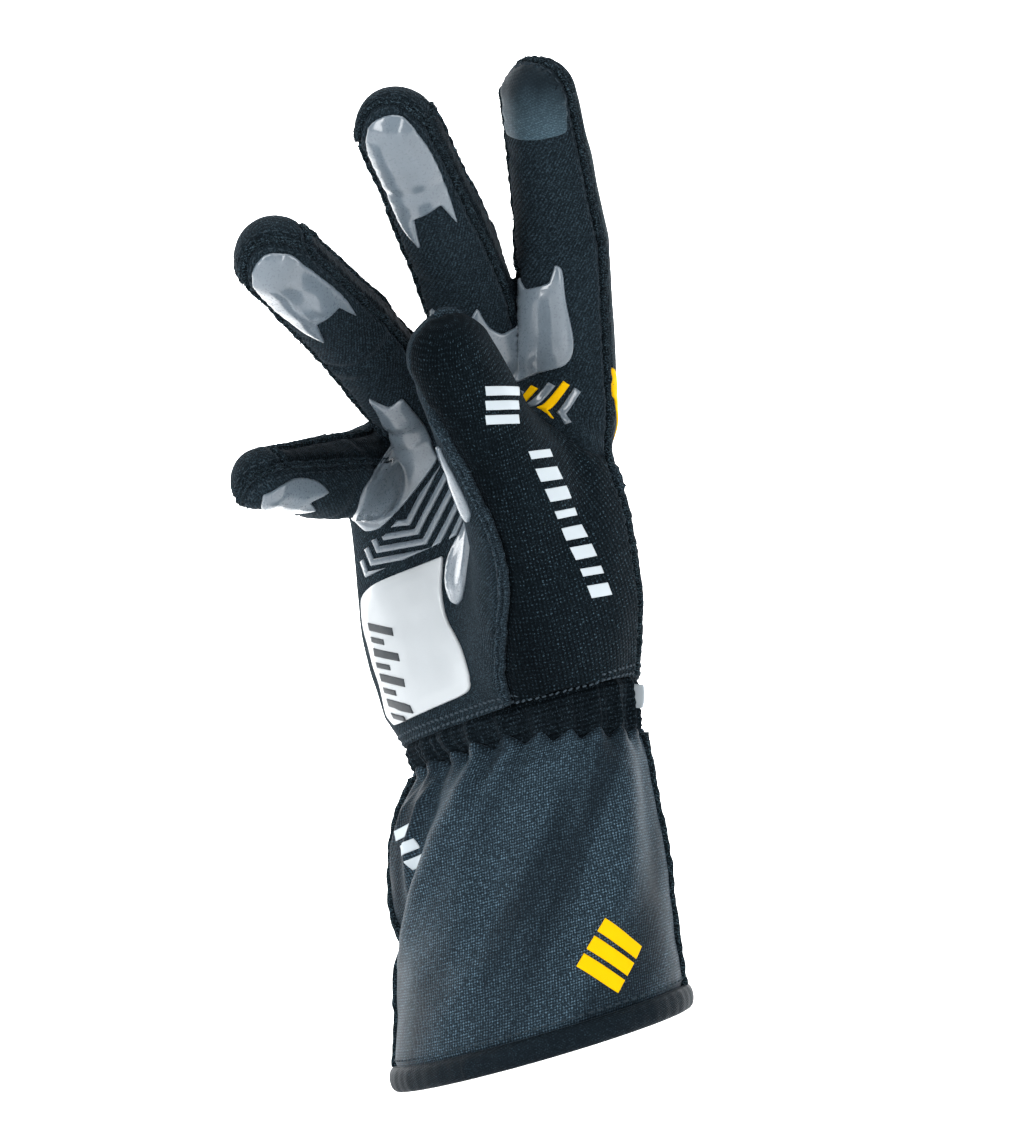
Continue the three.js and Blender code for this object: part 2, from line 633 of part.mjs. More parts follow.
// Splits triangles where a value given at the vertices changes sign; returns both sides
function split({ points, normals }, triangles, valueAt) {
  const values = new Map();
  const value = (i) => {
    if (!values.has(i)) {
      const raw = valueAt(points[i]);
      values.set(i, Math.abs(raw) < SNAP ? 0 : raw);
    }
    return values.get(i);
  };
  const cuts = new Map();
  const cut = (a, b) => {
    const key = a < b ? `${a} ${b}` : `${b} ${a}`;
    if (!cuts.has(key)) {
      cuts.set(key, points.length);
      const t = value(a) / (value(a) - value(b));
      points.push(points[a].clone().lerp(points[b], t));
      normals.push(normals[a].clone().lerp(normals[b], t).normalize());
      values.set(points.length - 1, 0);
    }
    return cuts.get(key);
  };
  const inside = [];
  const outside = [];
  for (const triangle of triangles) {
    const signs = triangle.map((i) => Math.sign(value(i)));
    const positive = signs.filter((sign) => sign > 0).length;
    const negative = signs.filter((sign) => sign < 0).length;
    if (positive && negative) {
      const odd = positive + negative === 2 ? signs.indexOf(0)
        : signs.findIndex((sign) => sign === (positive === 1 ? 1 : -1));
      const [a, b, c] = [0, 1, 2].map((i) => triangle[(odd + i) % 3]);
      if (positive + negative === 2) {
        const m = cut(b, c);
        (value(b) > 0 ? inside : outside).push([a, b, m]);
        (value(c) > 0 ? inside : outside).push([a, m, c]);
      } else {
        const m = cut(a, b);
        const n = cut(a, c);
        (value(a) > 0 ? inside : outside).push([a, m, n]);
        (value(a) > 0 ? outside : inside).push([m, b, c], [m, c, n]);
      }
    } else if (positive || negative) {
      (positive ? inside : outside).push(triangle);
    } else {
      const middle = triangle.reduce((sum, i) => sum.add(points[i]), new THREE.Vector3()).divideScalar(3);
      (valueAt(middle) > 0 ? inside : outside).push(triangle);
    }
  }
  return { inside, outside };
}

const edgeKey = (a, b) => (a < b ? `${a} ${b}` : `${b} ${a}`);
const edgesOf = ([a, b, c]) => [edgeKey(a, b), edgeKey(b, c), edgeKey(c, a)];

// The connected patches of a set of triangles, the largest first
function patches(triangles) {
  const owner = new Map();
  const root = (i) => {
    let at = i;
    while (owner.has(at) && owner.get(at) !== at) at = owner.get(at);
    return at;
  };
  const edgeOwner = new Map();
  triangles.forEach((triangle, t) => {
    owner.set(t, t);
    for (const key of edgesOf(triangle)) {
      if (edgeOwner.has(key)) owner.set(root(t), root(edgeOwner.get(key)));
      else edgeOwner.set(key, t);
    }
  });
  const groups = new Map();
  triangles.forEach((triangle, t) => {
    const key = root(t);
    groups.set(key, [...(groups.get(key) ?? []), triangle]);
  });
  return [...groups.values()].sort((a, b) => b.length - a.length);
}

// Patches cut off from their panel go to the panel that they share the longest border with
function settle(panels) {
  for (const name of Object.keys(panels)) {
    const [largest, ...others] = patches(panels[name]);
    panels[name] = largest;
    for (const patch of others) {
      const border = new Set(patch.flatMap(edgesOf));
      const shared = (other) => panels[other].flatMap(edgesOf).filter((key) => border.has(key)).length;
      const neighbours = Object.keys(panels).filter((other) => other !== name);
      const nearest = neighbours.reduce((best, other) => (shared(other) > shared(best) ? other : best));
      panels[nearest] = [...panels[nearest], ...patch];
    }
  }
}

// A patch of the skin as a solid between two offsets, drawn back from its edges by a margin
function thickPatch({ points, normals }, triangles, outerOffset, innerOffset, margin) {
  const boundary = new Map();
  const count = new Map();
  for (const key of triangles.flatMap(edgesOf)) count.set(key, (count.get(key) ?? 0) + 1);
  const rims = [];
  for (const triangle of triangles) {
    triangle.forEach((a, i) => {
      const b = triangle[(i + 1) % 3];
      if (count.get(edgeKey(a, b)) !== 1) return;
      rims.push([a, b]);
      const along = points[b].clone().sub(points[a]);
      const inward = points[triangle[(i + 2) % 3]].clone().sub(points[a]);
      inward.addScaledVector(along, -inward.dot(along) / Math.max(along.lengthSq(), TINY)).normalize();
      for (const v of [a, b]) boundary.set(v, (boundary.get(v) ?? new THREE.Vector3()).add(inward));
    });
  }
  const positions = [];
  const numbered = new Map();
  for (const v of triangles.flat()) {
    if (numbered.has(v)) continue;
    numbered.set(v, numbered.size);
    const point = points[v].clone();
    if (boundary.has(v)) point.addScaledVector(boundary.get(v).clone().normalize(), margin);
    for (const offset of [outerOffset, innerOffset]) {
      positions.push(...point.clone().addScaledVector(normals[v], offset).toArray());
    }
  }
  const outer = (v) => 2 * numbered.get(v);
  const inner = (v) => 2 * numbered.get(v) + 1;
  const indices = [];
  for (const [a, b, c] of triangles) {
    indices.push(outer(a), outer(b), outer(c), inner(a), inner(c), inner(b));
  }
  for (const [a, b] of rims) {
    indices.push(outer(b), outer(a), inner(a), outer(b), inner(a), inner(b));
  }
  return toSolid(positions, indices);
}

// The largest body of a solid: loose slivers are dropped
function mainBody(solid) {
  return solid.decompose().reduce((best, body) => (body.volume() > best.volume() ? body : best));
}

// How far inside each panel a point lies, blended between the forms that are close to it
function blend(point, valueOn) {
  const seen = Object.entries(tubes).map(([name, frames]) => [name, seeTube(frames, point)]);
  seen.push(['palm', seePalm(point)]);
  const least = Math.min(...seen.map(([, view]) => view.distance));
  let sum = 0;
  let weights = 0;
  for (const [name, view] of seen) {
    const weight = Math.exp(-(view.distance - least) / SEAM_BLEND);
    sum += weight * Math.max(-FAR, Math.min(FAR, valueOn(name, view)));
    weights += weight;
  }
  return sum / weights;
}

const arc = (degrees, view) => radians(degrees) * view.radius;
const within = (view, from, to) => {
  const angle = view.angle < from - 180 + (to - from) / 2 ? view.angle + 360 : view.angle;
  return Math.min(arc(angle - from, view), arc(to - angle, view));
};

function insideThumbPanel(point) {
  return blend(point, (name, view) => {
    if (name === 'thumb') {
      const { seam, lean } = view.frame;
      return arc(Math.abs(view.angle) - seam - lean * Math.sin(radians(view.angle)), view);
    }
    const below = SIDE_PANEL.top - point.z;
    if (name === 'palm') return Math.min(within(view, SIDE_PANEL.from, SIDE_PANEL.to), below);
    return name === 'index' ? below : -FAR;
  });
}

// The part of the back panel that comes over a fingertip
function overTip(view, ulnarEdge) {
  const reach = Math.max(Math.hypot(view.x, view.y, view.end), TINY);
  const sideEdge = view.x > 0 ? FINGER_PALM_EDGE : ulnarEdge;
  const toSide = THREE.MathUtils.smoothstep(Math.abs(view.x) / reach, TIP_TURN.from, TIP_TURN.to);
  const edge = radians(THREE.MathUtils.lerp(TIP_EDGE, sideEdge, toSide));
  const beyondEdge = (Math.acos(view.y / reach) - edge) * reach;
  return Math.min(beyondEdge, view.s - view.frame.length + TIP_LENGTH);
}

function insideBackPanel(point) {
  return blend(point, (name, view) => {
    if (name === 'thumb') return -FAR;
    if (name === 'palm') return within(view, SIDE_PANEL.to, 360 + BACK_ULNAR_EDGE);
    if (name === 'index') return within(view, INDEX_OUTER_EDGE, 360 - FINGER_BACK_EDGE);
    const little = name === 'pinky';
    const sides = within(view, FINGER_BACK_EDGE, 360 - (little ? INDEX_OUTER_EDGE : FINGER_BACK_EDGE));
    return Math.max(sides, overTip(view, little ? INDEX_OUTER_EDGE : FINGER_PALM_EDGE));
  });
}

// A side strip runs down one finger, through the crotch and up the next finger
function insideSideStrip(point, radialFinger, ulnarFinger) {
  const strip = blend(point, (name, view) => {
    if (name === 'palm') return -CROTCH_REACH;
    if (name !== radialFinger && name !== ulnarFinger) return -FAR;
    const side = name === radialFinger ? -1 : 1;
    const turned = { ...view, angle: side * view.angle };
    const band = within(turned, FINGER_PALM_EDGE, FINGER_BACK_EDGE);
    return Math.min(band, view.frame.length - TIP_LENGTH + TIP_LAP - view.s);
  });
  const [one, other] = [radialFinger, ulnarFinger].map((name) => seeTube(tubes[name], point).distance);
  const crotch = Math.min(
    CROTCH_REACH - Math.abs(one - other), 2 * (CROTCH_DEPTH - Math.max(one, other)),
    seePalm(point).distance - CROTCH_LIFT, seeTube(tubes.thumb, point).distance - THUMB_FILLET);
  return Math.max(strip, crotch);
}

const PANELS = {
  thumb_panel: insideThumbPanel,
  back_panel: insideBackPanel,
  fourchette_index_middle: (point) => insideSideStrip(point, 'index', 'middle'),
  fourchette_middle_ring: (point) => insideSideStrip(point, 'middle', 'ring'),
  fourchette_ring_pinky: (point) => insideSideStrip(point, 'ring', 'pinky'),
};

const solids = {};
const handSkin = skin();
const aboveSeam = (point) => (
  point.z - WRIST_SEAM_Z - SEAM_SLOPE.x * point.x - SEAM_SLOPE.y * point.y - WRIST_LIFT);
const wholeHand = split(handSkin, handSkin.triangles, aboveSeam).inside;
const panels = {};
let rest = wholeHand;
for (const [name, valueAt] of Object.entries(PANELS)) {
  const { inside, outside } = split(handSkin, rest, valueAt);
  panels[name] = inside;
  rest = outside;
}
panels.palm_panel = rest;
settle(panels);
settle(panels);
for (const [name, triangles] of Object.entries(panels)) {
  solids[name] = mainBody(thickPatch(handSkin, triangles, 0, -WALL, SEAM_GAP / 2));
}

// The plane of a pad: a point in it, the way it faces and its two axes
function planeOf({ on, s, azimuth, elevation }) {
  if (on) {
    const frame = frameAt(tubes[on], s);
    return { origin: frame.point, facing: frame.normal, across: frame.side, along: frame.direction };
  }
  const turned = radians(azimuth);
  const raised = radians(elevation);
  const facing = new THREE.Vector3(
    Math.sin(turned) * Math.cos(raised), -Math.cos(turned) * Math.cos(raised), Math.sin(raised));
  const across = new THREE.Vector3(Math.cos(turned), Math.sin(turned), 0);
  return { origin: new THREE.Vector3(), facing, across, along: facing.clone().cross(across) };
}

// A straight prism on an outline, between the plane's two depths
function prism(outline, plane) {
  const corners = outline.map(([across, along]) => new THREE.Vector2(across, along));
  if (THREE.ShapeUtils.isClockWise(corners)) corners.reverse();
  const { origin, facing, across, along } = planeOf(plane);
  const positions = plane.depth.flatMap((depth) => corners.flatMap((corner) => (
    origin.clone().addScaledVector(facing, depth).addScaledVector(across, corner.x)
      .addScaledVector(along, corner.y).toArray())));
  const count = corners.length;
  const indices = THREE.ShapeUtils.triangulateShape(corners, []).flatMap(([a, b, c]) => (
    [a, c, b, a + count, b + count, c + count]));
  for (let i = 0; i < count; i += 1) {
    const next = (i + 1) % count;
    indices.push(i, next, next + count, i, next + count, i + count);
  }
  return toSolid(positions, indices);
}

// The outline of a bent stroke through three or four points
function strokeOutline(points, width) {
  const path = points.map(([across, along]) => new THREE.Vector2(across, along));
  const normals = path.slice(1).map((point, i) => {
    const step = point.clone().sub(path[i]).normalize();
    return new THREE.Vector2(-step.y, step.x);
  });
  const side = (sign) => path.map((point, i) => {
    const before = normals[Math.max(i - 1, 0)];
    const after = normals[Math.min(i, normals.length - 1)];
    const mitre = before.clone().add(after).normalize();
    return point.clone().addScaledVector(mitre, sign * width / 2 / mitre.dot(after));
  });
  return [...side(1), ...side(-1).reverse()].map((point) => [point.x, point.y]);
}

// The layer over the skin that faces a plane, on the thumb or on the rest of the hand
function printLayer(plane) {
  const { facing } = planeOf(plane);
  const facingPlane = wholeHand.filter((triangle) => {
    const [a, b, c] = triangle.map((i) => handSkin.points[i]);
    const normal = b.clone().sub(a).cross(c.clone().sub(a)).normalize();
    const middle = a.clone().add(b).add(c).divideScalar(3);
    const offThumb = seeTube(tubes.thumb, middle).distance > PRINT_THICKNESS;
    return normal.dot(facing) > LEAST_FACING && offThumb !== Boolean(plane.thumb);
  });
  return thickPatch(handSkin, facingPlane, PRINT_GAP + PRINT_THICKNESS, PRINT_GAP, 0);
}

for (const [name, pad] of Object.entries(PADS)) {
  solids[name] = mainBody(printLayer(pad).intersect(prism(pad.outline, pad)));
}
const chevronArea = prism(PALM_CHEVRON_AREA, PALM_PLANE).intersect(printLayer(PALM_PLANE));
for (let i = 0; i < PALM_CHEVRONS.count; i += 1) {
  const { right, left, rightArm, leftArm, stroke } = PALM_CHEVRONS;
  const corner = (from) => [from.across + i * from.stepAcross, from.along + i * from.stepAlong];
  const end = ([across, along], arm) => [across + arm.across * arm.length, along + arm.along * arm.length];
  const path = [end(corner(left), leftArm), corner(left), corner(right), end(corner(right), rightArm)];
  const strip = prism(strokeOutline(path, stroke), PALM_PLANE);
  solids[`palm_chevron_${i + 1}`] = mainBody(strip.intersect(chevronArea));
}
const sideLayer = printLayer(SIDE_PLANE);
for (const { name, across, armDrop, armLean } of SIDE_CHEVRONS) {
  const { stroke, corner, footDrop, footLean } = SIDE_CHEVRON;
  const top = [across + armLean, corner + armDrop];
  const foot = [across + footLean, corner - footDrop];
  const strip = prism(strokeOutline([top, [across, corner], foot], stroke), SIDE_PLANE);
  solids[name] = mainBody(strip.intersect(sideLayer));
}

// Cuff: a point of the outer surface, with pleats below the elastic and large folds
function cuffFold(angle, z) {
  let depth = 0;
  for (const fold of CUFF_FOLDS) {
    const t = (fold.from - z) / (fold.from - fold.to);
    if (t <= 0 || t >= 1) continue;
    const middle = THREE.MathUtils.lerp(fold.top, fold.bottom, t ** fold.bend);
    const away = ((angle - middle + 540) % 360 - 180) / fold.width;
    depth += fold.depth * Math.exp(-away * away) * Math.sin(Math.PI * t) ** 0.7;
  }
  return depth;
}

function pleat(angle, z) {
  const below = BAND_BOTTOM_Z - z;
  const fade = below < 0 ? 1 + below / PLEAT_RISE : Math.max(0, 1 - below / PLEAT_FADE) ** 1.5;
  return PLEAT_DEPTH * fade * Math.cos(radians(angle) * PLEATS);
}

function cuffPoint(z, angle, offset) {
  const heights = CUFF_SECTIONS.map((row) => -row.z);
  const at = (key) => interpolate(heights, CUFF_SECTIONS.map((row) => row[key]), -z);
  const out = offset + pleat(angle, z) + cuffFold(angle, z);
  const t = (WRIST_SEAM_Z - z) / (WRIST_SEAM_Z - HEM_BOTTOM_Z);
  const slopeX = THREE.MathUtils.lerp(SEAM_SLOPE.x, HEM_SLOPE.x, t);
  const slopeY = THREE.MathUtils.lerp(SEAM_SLOPE.y, HEM_SLOPE.y, t);
  const across = (at('width') + out) * Math.sin(radians(angle));
  const forward = -(at('thickness') + out) * Math.cos(radians(angle));
  return new THREE.Vector3(at('x') + across, forward, z + slopeX * across + slopeY * forward);
}

function cuffPiece(heights, from, to, count, outer, inner) {
  const wrap = to - from >= 360;
  const grid = (offset) => heights.map((z) => Array.from({ length: count }, (_, j) => (
    cuffPoint(z, THREE.MathUtils.lerp(from, to, j / (wrap ? count : count - 1)), offset))));
  return thickGrid(grid(outer), grid(inner), wrap);
}

function heightsBetween(top, bottom, step) {
  const count = Math.ceil((top - bottom) / step);
  return Array.from({ length: count + 1 }, (_, i) => THREE.MathUtils.lerp(top, bottom, i / count));
}

const bandHeights = [WRIST_SEAM_Z - SEAM_GAP / 2, BAND_BOTTOM_Z];
solids.wrist_band = cuffPiece(bandHeights, 0, 360, PLEATS * SIDES_PER_PLEAT, 0, -WALL);
const cuffHeights = [
  ...heightsBetween(BAND_BOTTOM_Z - SEAM_GAP, CUFF_ROWS.gatheredTo, CUFF_ROWS.gathered),
  ...heightsBetween(CUFF_ROWS.plainFrom, HEM_TOP_Z + SEAM_GAP, CUFF_ROWS.plain),
];
const cuffGapAngle = THREE.MathUtils.radToDeg(SEAM_GAP / 2 / FRONT_RADIUS);
const frontSides = Math.round(PLEATS * SIDES_PER_PLEAT * (CUFF_SEAMS.radial - CUFF_SEAMS.ulnar) / 360) + 1;
const backSides = PLEATS * SIDES_PER_PLEAT - frontSides + 2;
solids.cuff_front = cuffPiece(
  cuffHeights, CUFF_SEAMS.ulnar + cuffGapAngle, CUFF_SEAMS.radial - cuffGapAngle, frontSides, 0, -WALL);
solids.cuff_back = cuffPiece(
  cuffHeights, CUFF_SEAMS.radial + cuffGapAngle, 360 + CUFF_SEAMS.ulnar - cuffGapAngle, backSides, 0, -WALL);
solids.cuff_hem = cuffPiece(
  [HEM_TOP_Z, HEM_BOTTOM_Z], 0, 360, HEM_SIDES, HEM_PROUD, HEM_PROUD - HEM_THICKNESS);

const markGrid = (offset) => Array.from({ length: CUFF_MARK.sides + 1 }, (_, i) => (
  Array.from({ length: CUFF_MARK.sides + 1 }, (_, j) => {
    const { corner, rise, fall, sides } = CUFF_MARK;
    const angle = corner.angle + (rise.angle * j + fall.angle * i) / sides;
    const z = corner.z + (rise.z * j + fall.z * i) / sides;
    return cuffPoint(z, angle, offset);
  })));
solids.cuff_mark = thickGrid(markGrid(PRINT_GAP + PRINT_THICKNESS), markGrid(PRINT_GAP), false);

// Colours and finishes
const fabric = (color) => new THREE.MeshStandardMaterial({ color, roughness: 0.92, metalness: 0 });
const silicone = (color) => new THREE.MeshStandardMaterial({ color, roughness: 0.28, metalness: 0 });
const MATERIALS = {
  twill: fabric(0x1a2128),
  knit: fabric(0x161c22),
  elastic: fabric(0x12171c),
  weave: fabric(0x2c363f),
  grey: silicone(0x8b98a3),
  white: silicone(0xdde3e8),
  yellow: silicone(0xf5cc00),
  patch: fabric(0x55606a),
};
const MATERIAL_OF = {
  palm_panel: 'twill',
  back_panel: 'knit',
  thumb_panel: 'knit',
  fourchette_index_middle: 'knit',
  fourchette_middle_ring: 'knit',
  fourchette_ring_pinky: 'knit',
  wrist_band: 'elastic',
  cuff_front: 'weave',
  cuff_back: 'weave',
  cuff_hem: 'elastic',
  touch_patch_index: 'patch',
  palm_block: 'white',
  knuckle_print: 'yellow',
  side_chevron_2: 'yellow',
  side_chevron_4: 'yellow',
  cuff_mark: 'yellow',
};

function toMesh(name, solid, material) {
  const { vertProperties, triVerts } = solid.getMesh();
  const geometry = new THREE.BufferGeometry();
  geometry.setAttribute('position', new THREE.BufferAttribute(vertProperties, 3));
  geometry.setIndex(new THREE.BufferAttribute(triVerts, 1));
  geometry.computeVertexNormals();
  const mesh = new THREE.Mesh(geometry, material);
  mesh.name = name;
  return mesh;
}

const glove = new THREE.Group();
glove.name = 'racing_glove';
for (const [name, solid] of Object.entries(solids)) {
  glove.add(toMesh(name, solid, MATERIALS[MATERIAL_OF[name] ?? 'grey']));
}

export default glove;
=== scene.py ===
"""Right-hand sim racing glove with a gauntlet cuff, in the shape of a worn hand.

The palm faces -Y, the thumb side is +X, the fingers point to +Z and the origin is the
middle of the wrist. Shapes are worked out in millimetres and scaled when a mesh is made.
"""
import math

import bpy
import numpy as np
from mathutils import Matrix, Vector, geometry


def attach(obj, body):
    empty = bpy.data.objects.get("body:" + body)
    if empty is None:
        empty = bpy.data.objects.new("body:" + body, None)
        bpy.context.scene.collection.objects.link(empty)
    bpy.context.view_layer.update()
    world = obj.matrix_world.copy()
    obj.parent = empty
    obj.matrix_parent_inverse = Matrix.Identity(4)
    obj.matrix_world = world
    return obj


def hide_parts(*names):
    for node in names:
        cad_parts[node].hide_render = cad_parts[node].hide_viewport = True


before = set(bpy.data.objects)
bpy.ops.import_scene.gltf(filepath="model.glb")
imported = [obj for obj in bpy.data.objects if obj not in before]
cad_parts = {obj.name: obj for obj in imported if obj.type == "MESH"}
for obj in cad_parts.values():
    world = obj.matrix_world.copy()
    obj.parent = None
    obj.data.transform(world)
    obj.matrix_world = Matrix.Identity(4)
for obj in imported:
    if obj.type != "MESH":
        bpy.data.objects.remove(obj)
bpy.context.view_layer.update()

MM = 0.001
rng = np.random.default_rng(11)

# ---------------------------------------------------------------- camera, light and floor
CAMERA_VIEW = dict(azimuth=35, elevation=2)
DISTANCE = 1000.0
PX_PER_MM = 3.57
IMAGE = (1024, 1125)
ORIGIN_PX = (524, 725)
SENSOR = 36.0
CLIP = (0.05, 50)
# the floor, the backdrop and the lights are placed in metres
FLOOR_Z, FLOOR_NEAR, FLOOR_FAR, FLOOR_HALF_WIDTH = -0.13, -4.0, 2.4, 6.0
BACKDROP_HEIGHT, BEND, BEND_STEPS = 3.2, 0.8, 16
PAPER = (0.93, 0.935, 0.94, 1)
WORLD_STRENGTH = 0.19
# place to the right, towards the camera and up from the picture's middle, size and watts
LIGHTS = {
    "key_softbox": ((-0.85, 0.75, 0.45), (0.45, 1.1), 13),
    "fill_softbox": ((0.28, 1.05, 0.3), (0.18, 1.0), 4.5),
    "side_softbox": ((0.95, 0.45, 0.3), (0.3, 1.0), 5),
    "top_softbox": ((0.1, 0.1, 1.1), (0.8, 0.6), 6),
    "rim_left": ((-0.8, -0.5, 0.3), (0.3, 1.2), 5),
    "rim_right": ((0.8, -0.5, 0.2), (0.3, 1.2), 6),
    "backdrop_wash": ((0.0, -1.0, 1.3), (2.0, 0.8), 150),
}
WASH_AIM = (0, -2.2, 0.2)


def view_axes(azimuth, elevation):
    """The way to a viewer at an azimuth and an elevation in degrees, their right and their up."""
    a, e = math.radians(azimuth), math.radians(elevation)
    facing = np.array([math.sin(a) * math.cos(e), -math.cos(a) * math.cos(e), math.sin(e)])
    across = np.array([math.cos(a), math.sin(a), 0.0])
    return facing, across, np.cross(facing, across)


BACK, RIGHT, UP = view_axes(**CAMERA_VIEW)
TARGET = (RIGHT * (IMAGE[0] / 2 - ORIGIN_PX[0]) + UP * (ORIGIN_PX[1] - IMAGE[1] / 2)) / PX_PER_MM


def new_object(name, data):
    obj = bpy.data.objects.new(name, data)
    bpy.context.collection.objects.link(obj)
    return obj


def looking(direction):
    return Vector(direction).to_track_quat("-Z", "Y").to_euler()


def add_camera():
    data = bpy.data.cameras.new("camera")
    data.sensor_fit = "VERTICAL"
    data.sensor_height = SENSOR
    data.lens = DISTANCE * PX_PER_MM / IMAGE[1] * SENSOR
    data.clip_start, data.clip_end = CLIP
    camera = new_object("camera", data)
    camera.location = Vector((TARGET + BACK * DISTANCE) * MM)
    camera.rotation_euler = looking(-BACK)
    bpy.context.scene.camera = camera


def add_stage():
    """Pale floor that runs up into a backdrop behind the object, and an even pale world."""
    profile = [(FLOOR_NEAR, 0.0), (FLOOR_FAR - BEND, 0.0)]
    for i in range(1, BEND_STEPS + 1):
        a = math.pi / 2 * i / BEND_STEPS
        profile.append((FLOOR_FAR - BEND + BEND * math.sin(a), BEND - BEND * math.cos(a)))
    profile.append((FLOOR_FAR, BACKDROP_HEIGHT))
    away = -BACK * np.array([1, 1, 0])
    away /= np.linalg.norm(away)
    verts = [tuple(away * y + RIGHT * x + np.array([0, 0, z + FLOOR_Z]))
             for y, z in profile for x in (-FLOOR_HALF_WIDTH, FLOOR_HALF_WIDTH)]
    faces = [(2 * i, 2 * i + 1, 2 * i + 3, 2 * i + 2) for i in range(len(profile) - 1)]
    mesh = bpy.data.meshes.new("stage_floor")
    mesh.from_pydata(verts, [], faces)
    mesh.polygons.foreach_set("use_smooth", [True] * len(faces))
    floor = new_object("stage_floor", mesh)
    material = bpy.data.materials.new("stage_paper")
    material.use_nodes = True
    shader = material.node_tree.nodes["Principled BSDF"]
    shader.inputs["Base Color"].default_value = PAPER
    shader.inputs["Roughness"].default_value = 0.9
    mesh.materials.append(material)
    world = bpy.data.worlds.new("studio")
    world.use_nodes = True
    background = world.node_tree.nodes["Background"]
    background.inputs["Color"].default_value = (1, 1, 1, 1)
    background.inputs["Strength"].default_value = WORLD_STRENGTH
    bpy.context.scene.world = world
    bpy.context.scene.view_settings.view_transform = "Standard"


def add_lights():
    centre = Vector(TARGET * MM)

    def at(right, back, up):
        return centre + Vector(RIGHT * right + BACK * back + np.array([0, 0, up]))

    for name, (place, size, watts) in LIGHTS.items():
        data = bpy.data.lights.new(name, "AREA")
        data.shape = "RECTANGLE"
        data.size, data.size_y = size
        data.energy = watts
        light = new_object(name, data)
        light.location = at(*place)
        aim = at(*WASH_AIM) if name == "backdrop_wash" else centre
        light.rotation_euler = looking(aim - at(*place))


add_camera()
add_stage()
add_lights()

# ---------------------------------------------------------------- form of the hand
JOINT_BEND = 22.0
CROTCH_FILLET = 3.0
KNUCKLE_FILLET = 7.0
THUMB_FILLET = 16.0
SEAM_BLEND = 2.5
WALL = 2.0
FAR = 20.0

FINGERS = {
    "index": dict(base=(25.5, -15.5, 86.5), spread=3.5, twist=4, roll=0,
                  bends=(10, 12, 4), bones=(47, 27, 24.5),
                  width=(13.3, 12.4, 10.4, 9.6), thickness=(13.4, 12.9, 10.8, 9.8)),
    "middle": dict(base=(5, -17.5, 89), spread=-3.5, twist=12, roll=12,
                   bends=(36, 10, 2), bones=(49, 31, 24.5),
                   width=(12.5, 12.0, 10.8, 10.2), thickness=(13.0, 12.5, 11.0, 10.2)),
    "ring": dict(base=(-16.3, -22.3, 83), spread=-19, twist=15, roll=12,
                 bends=(61, 7, 2), bones=(46, 28, 25),
                 width=(12.0, 11.5, 10.6, 10.0), thickness=(12.5, 12.2, 11.0, 10.2)),
    "pinky": dict(base=(-32, -20, 68.4), spread=-22, twist=6, roll=28,
                  bends=(97, -7, 4), bones=(35, 20, 20),
                  width=(12.0, 11.0, 9.0, 7.6), thickness=(12.8, 11.6, 8.8, 7.2)),
}
# centre, half width, half thickness, seam angle and lean of the seam of the thumb, to the tip
THUMB_ROWS = np.array([
    (15, -5, 0, 11, 10, 82, 2),
    (21.5, -19, 30, 19.5, 16.5, 101, 9),
    (25, -33.5, 57, 17.3, 15, 105, 19),
    (24.2, -53.7, 84, 13.2, 12.5, 90, 22),
    (22, -73, 111, 10.8, 10.3, 70, 6),
], float)
THUMB_ROW_PARTS = 12
THUMB_FACES = np.array([-0.86, 0.5, 0.0])
# height, centre, half width, half thickness, curl and squareness of the hand's main part
PALM_ROWS = np.array([
    (-16, -1.1, 0, 35.5, 26, 0, 2),
    (3, -1.1, 0, 35.5, 26, 0, 2),
    (13, -1.8, -3.5, 39, 25, 0.5, 2.15),
    (38, -2, -8, 44, 20, 3, 2.4),
    (60, -2, -11, 44.5, 18, 5, 2.4),
    (76, -1.5, -13.5, 41.5, 16.5, 6, 2.4),
    (88, 3.5, -15.5, 34, 14, 4, 2.3),
], float)
PALM_CAP = 11.0
TILT_FROM = 14.0
TILT_TO = 50.0
SEAM_SLOPE = (0.32, 0.016)
WRIST_SEAM_Z = 3.0
WRIST_LIFT = 0.4


def unit(v):
    return v / np.maximum(np.linalg.norm(v, axis=-1, keepdims=True), 1e-9)


def smoothstep(t):
    t = np.clip(t, 0, 1)
    return t * t * (3 - 2 * t)


def turned(v, axis, angle):
    """Vectors turned about an axis by an angle in radians."""
    angle = np.asarray(angle)[..., None]
    cross = np.cross(axis, v)
    along = np.sum(axis * v, -1, keepdims=True) * axis
    return along + (v - along) * np.cos(angle) + cross * np.sin(angle)
def half_turn(angle):
    """Degrees brought to the half turn either side of zero."""
    return (angle + 540) % 360 - 180


def run_along(line):
    """Distance along a line of each of its points."""
    return np.concatenate([[0], np.cumsum(np.linalg.norm(np.diff(line, axis=0), axis=1))])


def at_runs(at, run, rows):
    """Rows of values between those given at places of a run."""
    return np.stack([np.interp(at, run, column) for column in rows.T], 1)


def curve_between(p0, p1, p2, p3, t):
    """Smooth curve from the second to the third of four places."""
    return 0.5 * (2 * p1 + (p2 - p0) * t + (2 * p0 - 5 * p1 + 4 * p2 - p3) * t ** 2
                  + (3 * p1 - p0 - 3 * p2 + p3) * t ** 3)


def triangle_edges(triangles):
    return np.vstack([triangles[:, [0, 1]], triangles[:, [1, 2]], triangles[:, [2, 0]]])


def compact(faces, count):
    """Faces renumbered over the points that they use, and the old numbers of these."""
    used = np.unique(faces)
    number = np.full(count, -1)
    number[used] = np.arange(len(used))
    return number[faces], used


def directions(line):
    return unit(np.gradient(line, axis=0))


def seam_side(line, normal):
    """The way across a line in the skin."""
    return unit(np.cross(directions(line), normal))


def hill(x, width):
    """1 at zero, falling off over a width to both sides."""
    return np.exp(-(x / width) ** 2)


